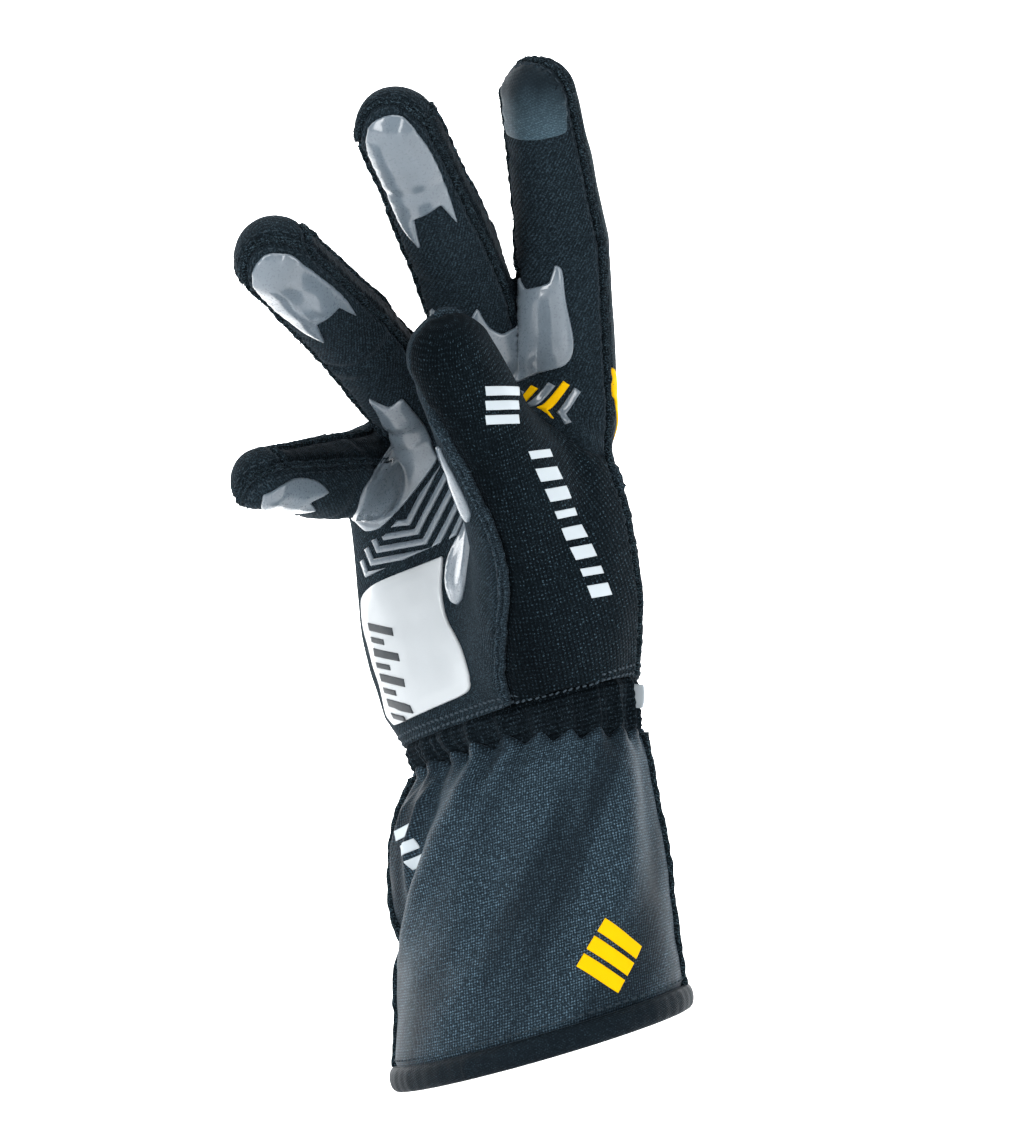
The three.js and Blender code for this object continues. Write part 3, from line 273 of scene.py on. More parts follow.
def nearest_of(points, places, chunk):
    """For each point the number of the nearest place, worked out in chunks to save memory."""
    half = np.sum(places ** 2, 1) / 2
    return np.concatenate([np.argmin(half - points[i:i + chunk] @ places.T, axis=1)
                           for i in range(0, len(points), chunk)])
def finger_tube(base, spread, twist, roll, bends, bones, width, thickness):
    """Places, frames and sizes every millimetre along a finger that bends at three joints."""
    lean = math.radians(spread)
    up = np.array([math.sin(lean), 0, math.cos(lean)])
    side = turned(np.array([math.cos(lean), 0, -math.sin(lean)]), up, math.radians(twist))
    palmar = np.cross(side, up)
    joints = (0, bones[0], bones[0] + bones[1])
    length = float(sum(bones))
    s = np.arange(0, math.floor(length) + 1, 1.0)
    angle = sum(math.radians(b) * smoothstep((s - j) / JOINT_BEND + 0.5)
                for b, j in zip(bends, joints))[:, None]
    direction = up * np.cos(angle) + palmar * np.sin(angle)
    normal = -up * np.sin(angle) + palmar * np.cos(angle)
    turn = math.radians(roll) * smoothstep(s / bones[0])
    point = np.array(base, float) + np.vstack([np.zeros(3), np.cumsum(direction[:-1], axis=0)])
    places = [*joints, length]
    return dict(
        s=s, length=length, point=point, direction=direction,
        normal=turned(normal, direction, turn),
        side=turned(np.broadcast_to(side, normal.shape), direction, turn),
        width=np.interp(s, places, width), thickness=np.interp(s, places, thickness),
        seam=np.zeros_like(s), lean=np.zeros_like(s))


def thumb_tube():
    """The same along the thumb, through its rows."""
    rows = THUMB_ROWS
    before = np.vstack([2 * rows[0] - rows[1], rows[:-2]])
    after = np.vstack([rows[2:], 2 * rows[-1] - rows[-2]])
    t = np.arange(THUMB_ROW_PARTS)[None, :, None] / THUMB_ROW_PARTS
    p0, p1, p2, p3 = [r[:, None, :] for r in (before, rows[:-1], rows[1:], after)]
    fine = curve_between(p0, p1, p2, p3, t)
    fine = np.vstack([fine.reshape(-1, 7), rows[-1]])
    point = fine[:, :3]
    direction = unit(np.vstack([point[1] - point[0], point[2:] - point[:-2], point[-1] - point[-2]]))
    normal = unit(THUMB_FACES - (direction @ THUMB_FACES)[:, None] * direction)
    s = run_along(point)
    return dict(s=s, length=s[-1], point=point, direction=direction, normal=normal,
                side=np.cross(direction, normal), width=fine[:, 3], thickness=fine[:, 4],
                seam=fine[:, 5], lean=fine[:, 6])


TUBES = {name: finger_tube(**values) for name, values in FINGERS.items()}
TUBES["thumb"] = thumb_tube()


def tube_frame(tube, s):
    """Frames of a tube at places along it."""
    at = np.clip(np.searchsorted(tube["s"], s) - 1, 0, len(tube["s"]) - 2)
    t = np.clip((s - tube["s"][at]) / (tube["s"][at + 1] - tube["s"][at]), 0, 1)
    result = {}
    for key in ("point", "direction", "normal", "side", "width", "thickness", "seam", "lean"):
        part = t[:, None] if tube[key].ndim > 1 else t
        result[key] = tube[key][at] * (1 - part) + tube[key][at + 1] * part
    beyond = np.maximum(s - tube["s"][-1], 0)
    result["point"] = result["point"] + result["direction"] * beyond[:, None]
    return result


def oval_distance(x, y, z, width, thickness, length, power):
    """About the distance to a rounded form with the given half sizes; a power of 2 is an ellipse."""
    section = ((np.abs(x) / width) ** power + (np.abs(y) / thickness) ** power) ** (1 / power)
    ratio = np.maximum(np.hypot(section, z / length), 1e-3)
    return np.sqrt(x * x + y * y + z * z) * (1 - 1 / ratio)


def see_tube(tube, points):
    """Distance of points to a finger's skin, place along it and angle round it."""
    radius = tube["width"][-1]
    nearest = nearest_of(points, tube["point"], 60000)
    s, point, direction = [tube[key][nearest] for key in ("s", "point", "direction")]
    for _ in range(2):
        s = np.clip(s + np.sum((points - point) * direction, 1), 0, tube["length"] - radius)
        at = tube_frame(tube, s)
        point, direction = at["point"], at["direction"]
    away = points - point
    x = np.sum(away * at["side"], 1)
    y = np.sum(away * at["normal"], 1)
    inner = (s > 0) & (s < tube["length"] - radius)
    end = np.where(inner, 0, np.sum(away * direction, 1))
    return dict(distance=oval_distance(x, y, end, at["width"], at["thickness"], radius, 2.0),
                s=s + np.maximum(end, 0), angle=np.degrees(np.arctan2(x, y)),
                radius=np.maximum(np.hypot(x, y), 1), seam=at["seam"],
                lean=at["lean"], length=tube["length"], x=x, y=y, end=end)


def see_palm(points):
    tilt = 1 - smoothstep((points[:, 2] - TILT_FROM) / (TILT_TO - TILT_FROM))
    z = points[:, 2] - tilt * SEAM_SLOPE[0] * points[:, 0]
    x0, y0, width, thickness, curl, square = [
        np.interp(z, PALM_ROWS[:, 0], column) for column in PALM_ROWS[:, 1:].T]
    x = points[:, 0] - x0
    y = -(points[:, 1] - y0 + curl * np.minimum((x / width) ** 2, 1.2))
    above = np.maximum(0, points[:, 2] - PALM_ROWS[-1, 0])
    return dict(distance=oval_distance(x, y, above, width, thickness, PALM_CAP, square),
                angle=np.degrees(np.arctan2(x, y)), radius=np.hypot(x, y), s=z)


def smooth_min(a, b, width):
    overlap = np.maximum(width - np.abs(a - b), 0) / width
    return np.minimum(a, b) - overlap * overlap * width / 4


def see_all(points):
    seen = {name: see_tube(tube, points) for name, tube in TUBES.items()}
    seen["palm"] = see_palm(points)
    return seen


def hand_distance(points, thumb=True):
    fingers = None
    for name in FINGERS:
        d = see_tube(TUBES[name], points)["distance"]
        fingers = d if fingers is None else smooth_min(fingers, d, CROTCH_FILLET)
    hand = smooth_min(see_palm(points)["distance"], fingers, KNUCKLE_FILLET)
    if not thumb:
        return hand
    return smooth_min(hand, see_tube(TUBES["thumb"], points)["distance"], THUMB_FILLET)


def thumb_distance(points):
    return see_tube(TUBES["thumb"], points)["distance"]


# a move onto the skin: the step its slope is taken over, the least slope squared and longest move
SLOPE_STEP, LEAST_SLOPE, LONGEST_MOVE = 0.5, 0.2, 2
EASE = 0.6
GRID_LOW = np.array([-56.0, -122.0, -14.0])
GRID_HIGH = np.array([52.0, 24.0, 194.0])
COARSE = 4


def onto_skin(points, passes):
    """Points moved along the slope onto the skin, with the unit normals there."""
    for _ in range(passes):
        slope = np.stack([hand_distance(points + shift) - hand_distance(points - shift)
                          for shift in SLOPE_STEP * np.eye(3)], 1) / (2 * SLOPE_STEP)
        size = np.maximum(np.sum(slope * slope, 1), LEAST_SLOPE)
        move = hand_distance(points) / size
        points = points - slope * np.clip(move, -LONGEST_MOVE, LONGEST_MOVE)[:, None]
    return points, unit(slope)


def skin_mesh(cell):
    """Quads over the hand's skin from the cells of a grid that it crosses."""
    counts = [int(math.ceil((b - a) / cell / COARSE)) * COARSE + 1
              for a, b in zip(GRID_LOW, GRID_HIGH)]
    axes = [a + cell * np.arange(n) for a, n in zip(GRID_LOW, counts)]
    rough = np.stack(np.meshgrid(*[axis[::COARSE] for axis in axes], indexing="ij"), -1)
    rough_value = hand_distance(rough.reshape(-1, 3)).reshape(rough.shape[:3])
    value = rough_value[np.ix_(*[(np.arange(n) + COARSE // 2) // COARSE for n in counts])]
    near = np.abs(value) < cell * COARSE * 1.5 + 1
    places = np.argwhere(near)
    points = np.stack([axes[i][places[:, i]] for i in range(3)], 1)
    value[near] = hand_distance(points)
    inside = value < 0
    shape = [n - 1 for n in counts]
    corners = [(a, b, c) for a in (0, 1) for b in (0, 1) for c in (0, 1)]
    cells = np.zeros(shape, np.int8)
    for a, b, c in corners:
        cells += inside[a:shape[0] + a, b:shape[1] + b, c:shape[2] + c]
    mixed = (cells > 0) & (cells < len(corners))
    where = np.argwhere(mixed)
    number = np.full(shape, -1)
    number[mixed] = np.arange(len(where))
    # each point is the mean of the places where the skin crosses its cell's edges
    total = np.zeros((len(where), 3))
    count = np.zeros(len(where))
    for corner in corners:
        for axis in range(3):
            if corner[axis]:
                continue
            other = list(corner)
            other[axis] = 1
            v0 = value[tuple((where + corner).T)]
            v1 = value[tuple((where + other).T)]
            hit = (v0 < 0) != (v1 < 0)
            crossing = (where + corner).astype(float)
            crossing[:, axis] += np.where(hit, v0 / np.where(hit, v0 - v1, 1), 0)
            total[hit] += crossing[hit]
            count[hit] += 1
    points = GRID_LOW + cell * total / count[:, None]
    quads = []
    for axis, u, v in ((0, 1, 2), (1, 2, 0), (2, 0, 1)):
        here = [slice(1, n - 1) for n in counts]
        there = list(here)
        here[axis] = slice(0, counts[axis] - 1)
        there[axis] = slice(1, counts[axis])
        start, end = inside[tuple(here)], inside[tuple(there)]
        at = np.argwhere(start != end)
        first = start[tuple(at.T)]
        at = at + (np.arange(3) != axis)
        ring = []
        for du, dv in ((-1, -1), (0, -1), (0, 0), (-1, 0)):
            cell_at = at.copy()
            cell_at[:, u] += du
            cell_at[:, v] += dv
            ring.append(number[tuple(cell_at.T)])
        ring = np.stack(ring, 1)
        ring[~first] = ring[~first][:, ::-1]
        quads.append(ring)
    return points, np.vstack(quads)


def relaxed(points, quads, passes):
    """Skin points evened out along the skin."""
    edges = np.vstack([quads[:, [i, (i + 1) % 4]] for i in range(4)])
    ends = np.concatenate([edges[:, 0], edges[:, 1]])
    others = np.concatenate([edges[:, 1], edges[:, 0]])
    count = np.bincount(ends, minlength=len(points)).astype(float)
    points, normal = onto_skin(points, 3)
    for _ in range(passes):
        mean = np.stack([np.bincount(ends, points[others, i], len(points)) for i in range(3)], 1)
        move = mean / count[:, None] - points
        move -= np.sum(move * normal, 1, keepdims=True) * normal
        points, normal = onto_skin(points + EASE * move, 1)
    return points


def triangulated(points, quads):
    one = np.linalg.norm(points[quads[:, 0]] - points[quads[:, 2]], axis=1)
    other = np.linalg.norm(points[quads[:, 1]] - points[quads[:, 3]], axis=1)
    turned_quads = np.where((one < other)[:, None], quads, np.roll(quads, -1, axis=1))
    return np.vstack([turned_quads[:, [0, 1, 2]], turned_quads[:, [0, 2, 3]]])


# share of an edge within which a cut moves the edge's end instead of adding a point
SNAP = 0.3


def split_at(points, triangles, values, value):
    """Splits triangles where a value changes sign; each then lies on one side of zero."""
    a, b = np.unique(np.sort(triangle_edges(triangles), 1), axis=0).T
    crossed = value[a] * value[b] < 0
    a, b = a[crossed], b[crossed]
    t = value[a] / (value[a] - value[b])
    vertex = np.concatenate([a[t < SNAP], b[t > 1 - SNAP]])
    toward = np.concatenate([b[t < SNAP], a[t > 1 - SNAP]])
    part = np.concatenate([t[t < SNAP], 1 - t[t > 1 - SNAP]])
    order = np.argsort(part)
    vertex, toward, part = vertex[order], toward[order], part[order][:, None]
    _, first = np.unique(vertex, return_index=True)
    vertex, toward, part = vertex[first], toward[first], part[first]
    points, values, value = points.copy(), values.copy(), value.copy()
    for rows in (points, values):
        rows[vertex] = rows[vertex] * (1 - part) + rows[toward] * part
    value[vertex] = 0
    sign = np.sign(value).astype(int)
    tri_sign = sign[triangles]
    mixed = (tri_sign > 0).any(1) & (tri_sign < 0).any(1)
    done = triangles[~mixed].tolist()
    cuts, ends, parts = {}, [], []

    def cut(p, q):
        key = (min(p, q), max(p, q))
        if key not in cuts:
            cuts[key] = len(points) + len(ends)
            ends.append((p, q))
            parts.append(value[p] / (value[p] - value[q]))
        return cuts[key]

    for triangle in triangles[mixed].tolist():
        signs = [sign[i] for i in triangle]
        if 0 in signs:
            odd = signs.index(0)
        else:
            odd = signs.index(1 if signs.count(1) == 1 else -1)
        p, q, r = triangle[odd], triangle[(odd + 1) % 3], triangle[(odd + 2) % 3]
        if sign[p] == 0:
            m = cut(q, r)
            done += [[p, q, m], [p, m, r]]
        else:
            m, n = cut(p, q), cut(p, r)
            done += [[p, m, n], [m, q, r], [m, r, n]]
    if ends:
        p, q = np.array(ends).T
        t = np.array(parts)[:, None]
        points = np.vstack([points, points[p] * (1 - t) + points[q] * t])
        values = np.vstack([values, values[p] * (1 - t) + values[q] * t])
        value = np.concatenate([value, np.zeros(len(p))])
    return points, np.array(done), values, value


# ---------------------------------------------------------------- panels
FINGER_PALM_EDGE = 64
FINGER_BACK_EDGE = 115
INDEX_OUTER_EDGE = 85
CROTCH_REACH = 4.5
CROTCH_DEPTH = 3.0
CROTCH_LIFT = 1.5
# over a fingertip the back panel comes round to the palm panel, and the side strips reach under it
TIP_LENGTH, TIP_LAP, TIP_EDGE = 9, 2, 80
TIP_TURN = (0.2, 0.85)
SIDE_FROM, SIDE_TO, SIDE_TOP = 52, 91, 76
BACK_ULNAR_EDGE = -104


def arc(degrees, view):
    """Millimetres along the skin of an angle round a finger."""
    return np.radians(degrees) * view["radius"]


def within(view, low, high):
    """How far inside a range of angles the skin lies, in millimetres."""
    angle = np.where(view["angle"] < low - 180 + (high - low) / 2, view["angle"] + 360, view["angle"])
    return np.minimum(arc(angle - low, view), arc(high - angle, view))


def beyond_nearest(seen):
    """How much further off each part of the hand is than the nearest part."""
    least = np.min([view["distance"] for view in seen.values()], axis=0)
    return {name: view["distance"] - least for name, view in seen.items()}


def blended(seen, value_on, width=SEAM_BLEND):
    """A value of the parts of the hand, blended where they meet."""
    beyond = beyond_nearest(seen)
    total, weights = 0, 0
    for name, view in seen.items():
        weight = np.exp(-beyond[name] / width)
        total = total + weight * value_on(name, view)
        weights = weights + weight
    return total / weights


def capped(value_on):
    return lambda name, view: np.clip(value_on(name, view), -FAR, FAR)


def inside_thumb_panel(points):
    def value_on(name, view):
        if name == "thumb":
            seam = view["seam"] + view["lean"] * np.sin(np.radians(view["angle"]))
            return arc(np.abs(view["angle"]) - seam, view)
        below = SIDE_TOP - points[:, 2]
        if name == "palm":
            return np.minimum(within(view, SIDE_FROM, SIDE_TO), below)
        return below if name == "index" else np.full(len(points), -FAR)
    return blended(see_all(points), capped(value_on))


def over_tip(view, ulnar_edge):
    """Inside the part of the back panel that comes over a fingertip."""
    reach = np.maximum(np.sqrt(view["x"] ** 2 + view["y"] ** 2 + view["end"] ** 2), 1e-6)
    side_edge = np.where(view["x"] > 0, FINGER_PALM_EDGE, ulnar_edge)
    low, high = TIP_TURN
    to_side = smoothstep((np.abs(view["x"]) / reach - low) / (high - low))
    edge = np.radians(TIP_EDGE + (side_edge - TIP_EDGE) * to_side)
    beyond_edge = (np.arccos(np.clip(view["y"] / reach, -1, 1)) - edge) * reach
    return np.minimum(beyond_edge, view["s"] - view["length"] + TIP_LENGTH)


def inside_back_panel(points):
    def value_on(name, view):
        if name == "thumb":
            return np.full(len(points), -FAR)
        if name == "palm":
            return within(view, SIDE_TO, 360 + BACK_ULNAR_EDGE)
        if name == "index":
            return within(view, INDEX_OUTER_EDGE, 360 - FINGER_BACK_EDGE)
        outer, tip = ((INDEX_OUTER_EDGE, INDEX_OUTER_EDGE) if name == "pinky"
                      else (FINGER_BACK_EDGE, FINGER_PALM_EDGE))
        return np.maximum(within(view, FINGER_BACK_EDGE, 360 - outer), over_tip(view, tip))
    return blended(see_all(points), capped(value_on))


def inside_side_strip(radial, ulnar):
    def value_at(points):
        seen = see_all(points)

        def value_on(name, view):
            if name == "palm":
                return np.full(len(points), -CROTCH_REACH)
            if name not in (radial, ulnar):
                return np.full(len(points), -FAR)
            side = -1 if name == radial else 1
            band = within(dict(view, angle=side * view["angle"]), FINGER_PALM_EDGE, FINGER_BACK_EDGE)
            return np.minimum(band, view["length"] - TIP_LENGTH + TIP_LAP - view["s"])

        strip = blended(seen, capped(value_on))
        one, other = seen[radial]["distance"], seen[ulnar]["distance"]
        crotch = np.minimum.reduce([
            CROTCH_REACH - np.abs(one - other), 2 * (CROTCH_DEPTH - np.maximum(one, other)),
            seen["palm"]["distance"] - CROTCH_LIFT, seen["thumb"]["distance"] - THUMB_FILLET])
        return np.maximum(strip, crotch)
    return value_at


PANEL_VALUES = {
    "thumb_panel": inside_thumb_panel,
    "back_panel": inside_back_panel,
    "fourchette_index_middle": inside_side_strip("index", "middle"),
    "fourchette_middle_ring": inside_side_strip("middle", "ring"),
    "fourchette_ring_pinky": inside_side_strip("ring", "pinky"),
}
PANEL_NAMES = [*PANEL_VALUES, "palm_panel"]


def above_wrist(points):
    return (points[:, 2] - WRIST_SEAM_Z - SEAM_SLOPE[0] * points[:, 0]
            - SEAM_SLOPE[1] * points[:, 1] - WRIST_LIFT)


def edge_pairs(triangles):
    """Sorted edges that two triangles share, with the numbers of both triangles."""
    edges = np.sort(triangle_edges(triangles), 1)
    owner = np.tile(np.arange(len(triangles)), 3)
    order = np.lexsort((edges[:, 1], edges[:, 0]))
    edges, owner = edges[order], owner[order]
    at = np.nonzero((edges[1:] == edges[:-1]).all(1))[0]
    return edges[at], owner[at], owner[at + 1]


def settled(triangles, label):
    """Small patches cut off from their panel take the label that they border most."""
    _, one, other = edge_pairs(triangles)
    for _ in range(3):
        root = np.arange(len(triangles))
        same = label[one] == label[other]
        a, b = one[same], other[same]
        while True:
            low = np.minimum(root[a], root[b])
            before = root.copy()
            np.minimum.at(root, a, low)
            np.minimum.at(root, b, low)
            root = root[root]
            if (root == before).all():
                break
        groups, inverse, size = np.unique(root, return_inverse=True, return_counts=True)
        best = {}
        for i in np.argsort(-size, kind="stable"):
            best.setdefault(label[groups[i]], i)
        loose = [i for i in range(len(groups)) if i not in best.values()]
        if not loose:
            break
        for i in loose:
            mine = inverse == i
            border = mine[one] != mine[other]
            beyond = np.where(mine[one[border]], label[other[border]], label[one[border]])
            if len(beyond):
                label[mine] = np.bincount(beyond).argmax()
    return label


def chains(edges):
    """Edges joined end to end into lines of vertex numbers."""
    links = {}
    for a, b in edges.tolist():
        links.setdefault(a, []).append(b)
        links.setdefault(b, []).append(a)
    done, lines = set(), []
    for start in [v for v in links if len(links[v]) != 2] + list(links):
        for ahead in links[start]:
            if frozenset((start, ahead)) in done:
                continue
            line = [start]
            while ahead is not None:
                done.add(frozenset((line[-1], ahead)))
                line.append(ahead)
                here, ahead = ahead, None
                if len(links[here]) == 2 and here != start:
                    for v in links[here]:
                        if frozenset((here, v)) not in done:
                            ahead = v
            lines.append(line)
    return lines


def resampled(line, step):
    run = run_along(line)
    count = max(int(round(run[-1] / step)), 2)
    return at_runs(np.linspace(0, run[-1], count + 1), run, line)


def smoothed(line, passes, closed=False):
    line = line.copy()
    for _ in range(passes):
        mean = line.copy()
        mean[1:-1] = (line[:-2] + line[2:]) / 2
        if closed:
            mean[0] = mean[-1] = (line[-2] + line[1]) / 2
        line = (line + mean) / 2
    return line


# ---------------------------------------------------------------- folds and waves of the cloth
WAVES = [(rng.normal(size=3), rng.uniform(0, 2 * np.pi)) for _ in range(10)]


def waves(points, length):
    """Smooth random undulation between about -1 and 1 of a given wavelength."""
    total = 0
    for direction, phase in WAVES:
        total = total + np.sin(points @ (direction / np.linalg.norm(direction))
                               * (2 * np.pi / length) * (0.7 + 0.6 * abs(direction[0]) % 0.6) + phase)
    return total / math.sqrt(len(WAVES)) / 1.2


# finger, place along it, middle angle, half width in degrees, depth and width in millimetres, slant
CREASES = [
    ("index", 48, 0, 75, 0.75, 1.5, 0.10), ("index", 42.5, 10, 60, 0.35, 1.6, -0.1),
    ("index", 15, 0, 60, 0.4, 2.2, 0.15), ("index", 74, 0, 60, 0.3, 1.6, 0.0),
    ("middle", 49, 0, 60, 0.6, 1.6, 0.1), ("middle", 14, 0, 60, 0.6, 2.0, 0.1),
    ("middle", 80, 0, 60, 0.25, 1.5, 0.0),
    ("ring", 46, 0, 70, 0.8, 1.6, -0.1), ("ring", 41, 0, 50, 0.4, 1.6, 0.2),
    ("ring", 14, 0, 60, 0.6, 2.0, 0.0),
    ("pinky", 35, 0, 80, 0.5, 1.6, 0.0), ("pinky", 12, 0, 80, 0.8, 2.0, 0.1),
    ("pinky", 26, 60, 60, 0.5, 2.0, 0.3),
    ("thumb", 118, 0, 80, 0.6, 1.8, 0.0), ("thumb", 90, 0, 80, 0.5, 2.2, 0.1),
    ("thumb", 62, 180, 70, 0.35, 5.0, 0.5), ("thumb", 84, 190, 70, 0.3, 4.0, -0.5),
    ("middle", 49, 180, 60, -0.5, 3.0, 0.0), ("ring", 46, 180, 60, -0.6, 3.0, 0.0),
    ("index", 47, 180, 60, -0.4, 3.0, 0.0),
]


# depth of the cloth's two waves and their length, in millimetres
BROAD_WAVE, FINE_WAVE = (0.22, 26), (0.10, 11)
CREASE_BLEND = 2.0


def fold_depth(points, seen=None):
    """How far the cloth stands off its plain form, out of the hand positive."""
    if seen is None:
        seen = see_all(points)
    beyond = beyond_nearest(seen)
    depth = (BROAD_WAVE[0] * waves(points, BROAD_WAVE[1])
             + FINE_WAVE[0] * waves(points[:, [1, 2, 0]], FINE_WAVE[1]))
    for name, s, angle, half, deep, width, slant in CREASES:
        view = seen[name]
        weight = hill(beyond[name], CREASE_BLEND)
        off = half_turn(view["angle"] - angle)
        across = view["s"] - s - slant * arc(off, view)
        fade = np.exp(-(off / half) ** 4)
        bulge = hill(np.abs(across) - 2.2 * width, 1.3 * width)
        depth = depth + weight * fade * deep * (0.45 * bulge - hill(across, width))
    return depth


# ---------------------------------------------------------------- meshes
def add_mesh(name, points, faces, material, uv):
    """A mesh object from millimetres."""
    mesh = bpy.data.meshes.new(name)
    faces = [f.tolist() if hasattr(f, "tolist") else list(f) for f in faces]
    mesh.from_pydata((np.asarray(points) * MM).tolist(), [], faces)
    mesh.polygons.foreach_set("use_smooth", [True] * len(faces))
    if uv is not None:
        layer = mesh.uv_layers.new(name="UVMap")
        loops = np.empty(len(mesh.loops), int)
        mesh.loops.foreach_get("vertex_index", loops)
        layer.data.foreach_set("uv", np.asarray(uv, float)[loops].ravel())
    mesh.materials.append(material)
    mesh.update()
    return new_object(name, mesh)


def dress(obj, slot, nodes):
    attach(obj, "root")
    if nodes:
        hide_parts(*nodes)


def add_piece(name, points, faces, look, slot, nodes=(), uv=None):
    dress(add_mesh(name, points, faces, MATERIALS[look], uv), slot, nodes)


def shell(points, triangles, inner):
    """A closed shell: the outer skin, the inner one and the rim between them."""
    outer, used = compact(triangles, len(points))
    count = len(used)
    edges = triangle_edges(outer)
    _, inverse, times = np.unique(np.sort(edges, 1), axis=0, return_inverse=True, return_counts=True)
    a, b = edges[times[inverse.ravel()] == 1].T
    rims = np.stack([b, a, a + count, b + count], 1)
    verts = np.vstack([points[used], inner[used]])
    faces = outer.tolist() + (outer[:, ::-1] + count).tolist() + rims.tolist()
    return verts, faces, used


def quad_grid(rows, columns, wrap_rows=False, wrap_columns=False):
    """Corner numbers of the quads between a grid's points, which can wrap round."""
    i, j = [g.ravel() for g in np.meshgrid(np.arange(rows - 1 + wrap_rows),
                                           np.arange(columns - 1 + wrap_columns), indexing="ij")]
    i2, j2 = (i + 1) % rows, (j + 1) % columns
    return np.stack([i * columns + j, i * columns + j2, i2 * columns + j2, i2 * columns + j], 1)


def merged(parts):
    """Several (points, faces) joined into one."""
    points, faces, start = [], [], 0
    for p, f in parts:
        points.append(p)
        faces.extend([[i + start for i in face] for face in f])
        start += len(p)
    return np.vstack(points), faces


def add_merged(name, parts, look, slot, mapped=False):
    """Several (points, faces) as one piece, which can be mapped from the front."""
    points, faces = merged(parts)
    add_piece(name, points, faces, look, slot, uv=points[:, [0, 2]] if mapped else None)


def swept(line, normal, profile, closed, scale):
    """A bar along a line with a closed section given as (across, out) points."""
    profile = np.asarray(profile, float)
    tangent = directions(line)
    if closed:
        tangent[0] = tangent[-1] = unit(line[1] - line[-2])
    across = unit(np.cross(tangent, normal))
    count = len(profile)
    rings = (line[:, None] + across[:, None] * profile[None, :, :1] * scale[:, None, None]
             + normal[:, None] * profile[None, :, 1:] * scale[:, None, None])
    faces = quad_grid(len(line), count, wrap_columns=True).tolist()
    last = (len(line) - 1) * count
    faces.append(list(range(count))[::-1])
    faces.append([last + j for j in range(count)])
    return rings.reshape(-1, 3), faces


CAPSULE_SIDES = 6
CAPSULE_RINGS = ((-0.5, 0.45), (-0.36, 1.0), (0.36, 1.0), (0.5, 0.45))
STITCH_FLATNESS = 0.7


def stitches(places, along, out, length, radius):
    """Short round stitches, one at each place."""
    side = unit(np.cross(along, out))
    n = CAPSULE_SIDES
    angle = np.arange(n) * 2 * np.pi / n
    rings = [places[:, None] + along[:, None] * (t * length)
             + radius * r * (side[:, None] * np.cos(angle)[None, :, None]
                             + STITCH_FLATNESS * out[:, None] * np.sin(angle)[None, :, None])
             for t, r in CAPSULE_RINGS]
    size = len(CAPSULE_RINGS) * n
    starts = np.arange(len(places)) * size
    quads = quad_grid(len(CAPSULE_RINGS), n, wrap_columns=True)
    faces = (starts[:, None, None] + quads[None]).reshape(-1, 4).tolist()
    for start in starts.tolist():
        faces.append([start + j for j in range(n)][::-1])
        faces.append([start + size - n + j for j in range(n)])
    return np.stack(rings, 1).reshape(-1, 3), faces


# ---------------------------------------------------------------- materials
class Nodes:
    """Short calls for building a material's nodes."""

    def __init__(self, name):
        self.material = bpy.data.materials.new(name)
        self.material.use_nodes = True
        self.tree = self.material.node_tree
        self.shader = self.tree.nodes["Principled BSDF"]

    def node(self, kind, **settings):
        node = self.tree.nodes.new(kind)
        for key, value in settings.items():
            setattr(node, key, value)
        return node

    def link(self, source, target):
        self.tree.links.new(source, target)

    def put(self, socket, value):
        if isinstance(value, bpy.types.NodeSocket):
            self.link(value, socket)
        else:
            socket.default_value = value

    def look(self, **values):
        """Puts values into the shader's inputs, with underscores for the spaces in their names."""
        for key, value in values.items():
            self.put(self.shader.inputs[key.replace("_", " ")], value)
        return self.material

    def math(self, operation, a, b=0.0, c=0.0):
        node = self.node("ShaderNodeMath", operation=operation)
        for socket, value in zip(node.inputs, (a, b, c)):
            self.put(socket, value)
        return node.outputs[0]

    def parts(self, vector):
        split = self.node("ShaderNodeSeparateXYZ")
        self.link(vector, split.inputs[0])
        return split.outputs

    def place(self):
        return self.node("ShaderNodeTexCoord").outputs["Object"]

    def noise(self, scale, detail, roughness, vector=None):
        node = self.node("ShaderNodeTexNoise")
        self.link(self.place() if vector is None else vector, node.inputs["Vector"])
        node.inputs["Scale"].default_value = scale
        node.inputs["Detail"].default_value = detail
        node.inputs["Roughness"].default_value = roughness
        return node.outputs[0]

    def wave(self, u, v, per_u, per_v):
        """Sine of a plane wave with the given turns per millimetre."""
        turn = 2 * math.pi
        total = self.math("MULTIPLY_ADD", u, per_u * turn, 0.0)
        return self.math("SINE", self.math("MULTIPLY_ADD", v, per_v * turn, total))

    def scaled(self, color, factor):
        node = self.node("ShaderNodeVectorMath", operation="SCALE")
        self.link(color, node.inputs[0])
        node.inputs["Scale"].default_value = factor
        return node.outputs[0]

    def ranged(self, value, low, high, to_low, to_high):
        node = self.node("ShaderNodeMapRange")
        self.link(value, node.inputs[0])
        for i, number in enumerate((low, high, to_low, to_high)):
            node.inputs[i + 1].default_value = number
        return node.outputs[0]

    def mix(self, factor, one, other):
        node = self.node("ShaderNodeMix", data_type="RGBA")
        self.put(node.inputs[0], factor)
        self.put(node.inputs[6], one)
        self.put(node.inputs[7], other)
        return node.outputs[2]

    def bump(self, height, distance, strength, normal=None):
        node = self.node("ShaderNodeBump")
        node.inputs["Strength"].default_value = strength
        node.inputs["Distance"].default_value = distance
        self.link(height, node.inputs["Height"])
        if normal is not None:
            self.link(normal, node.inputs["Normal"])
        return node.outputs[0]


def shade(color, factor):
    return (*(min(c * factor, 1.0) for c in color), 1.0)


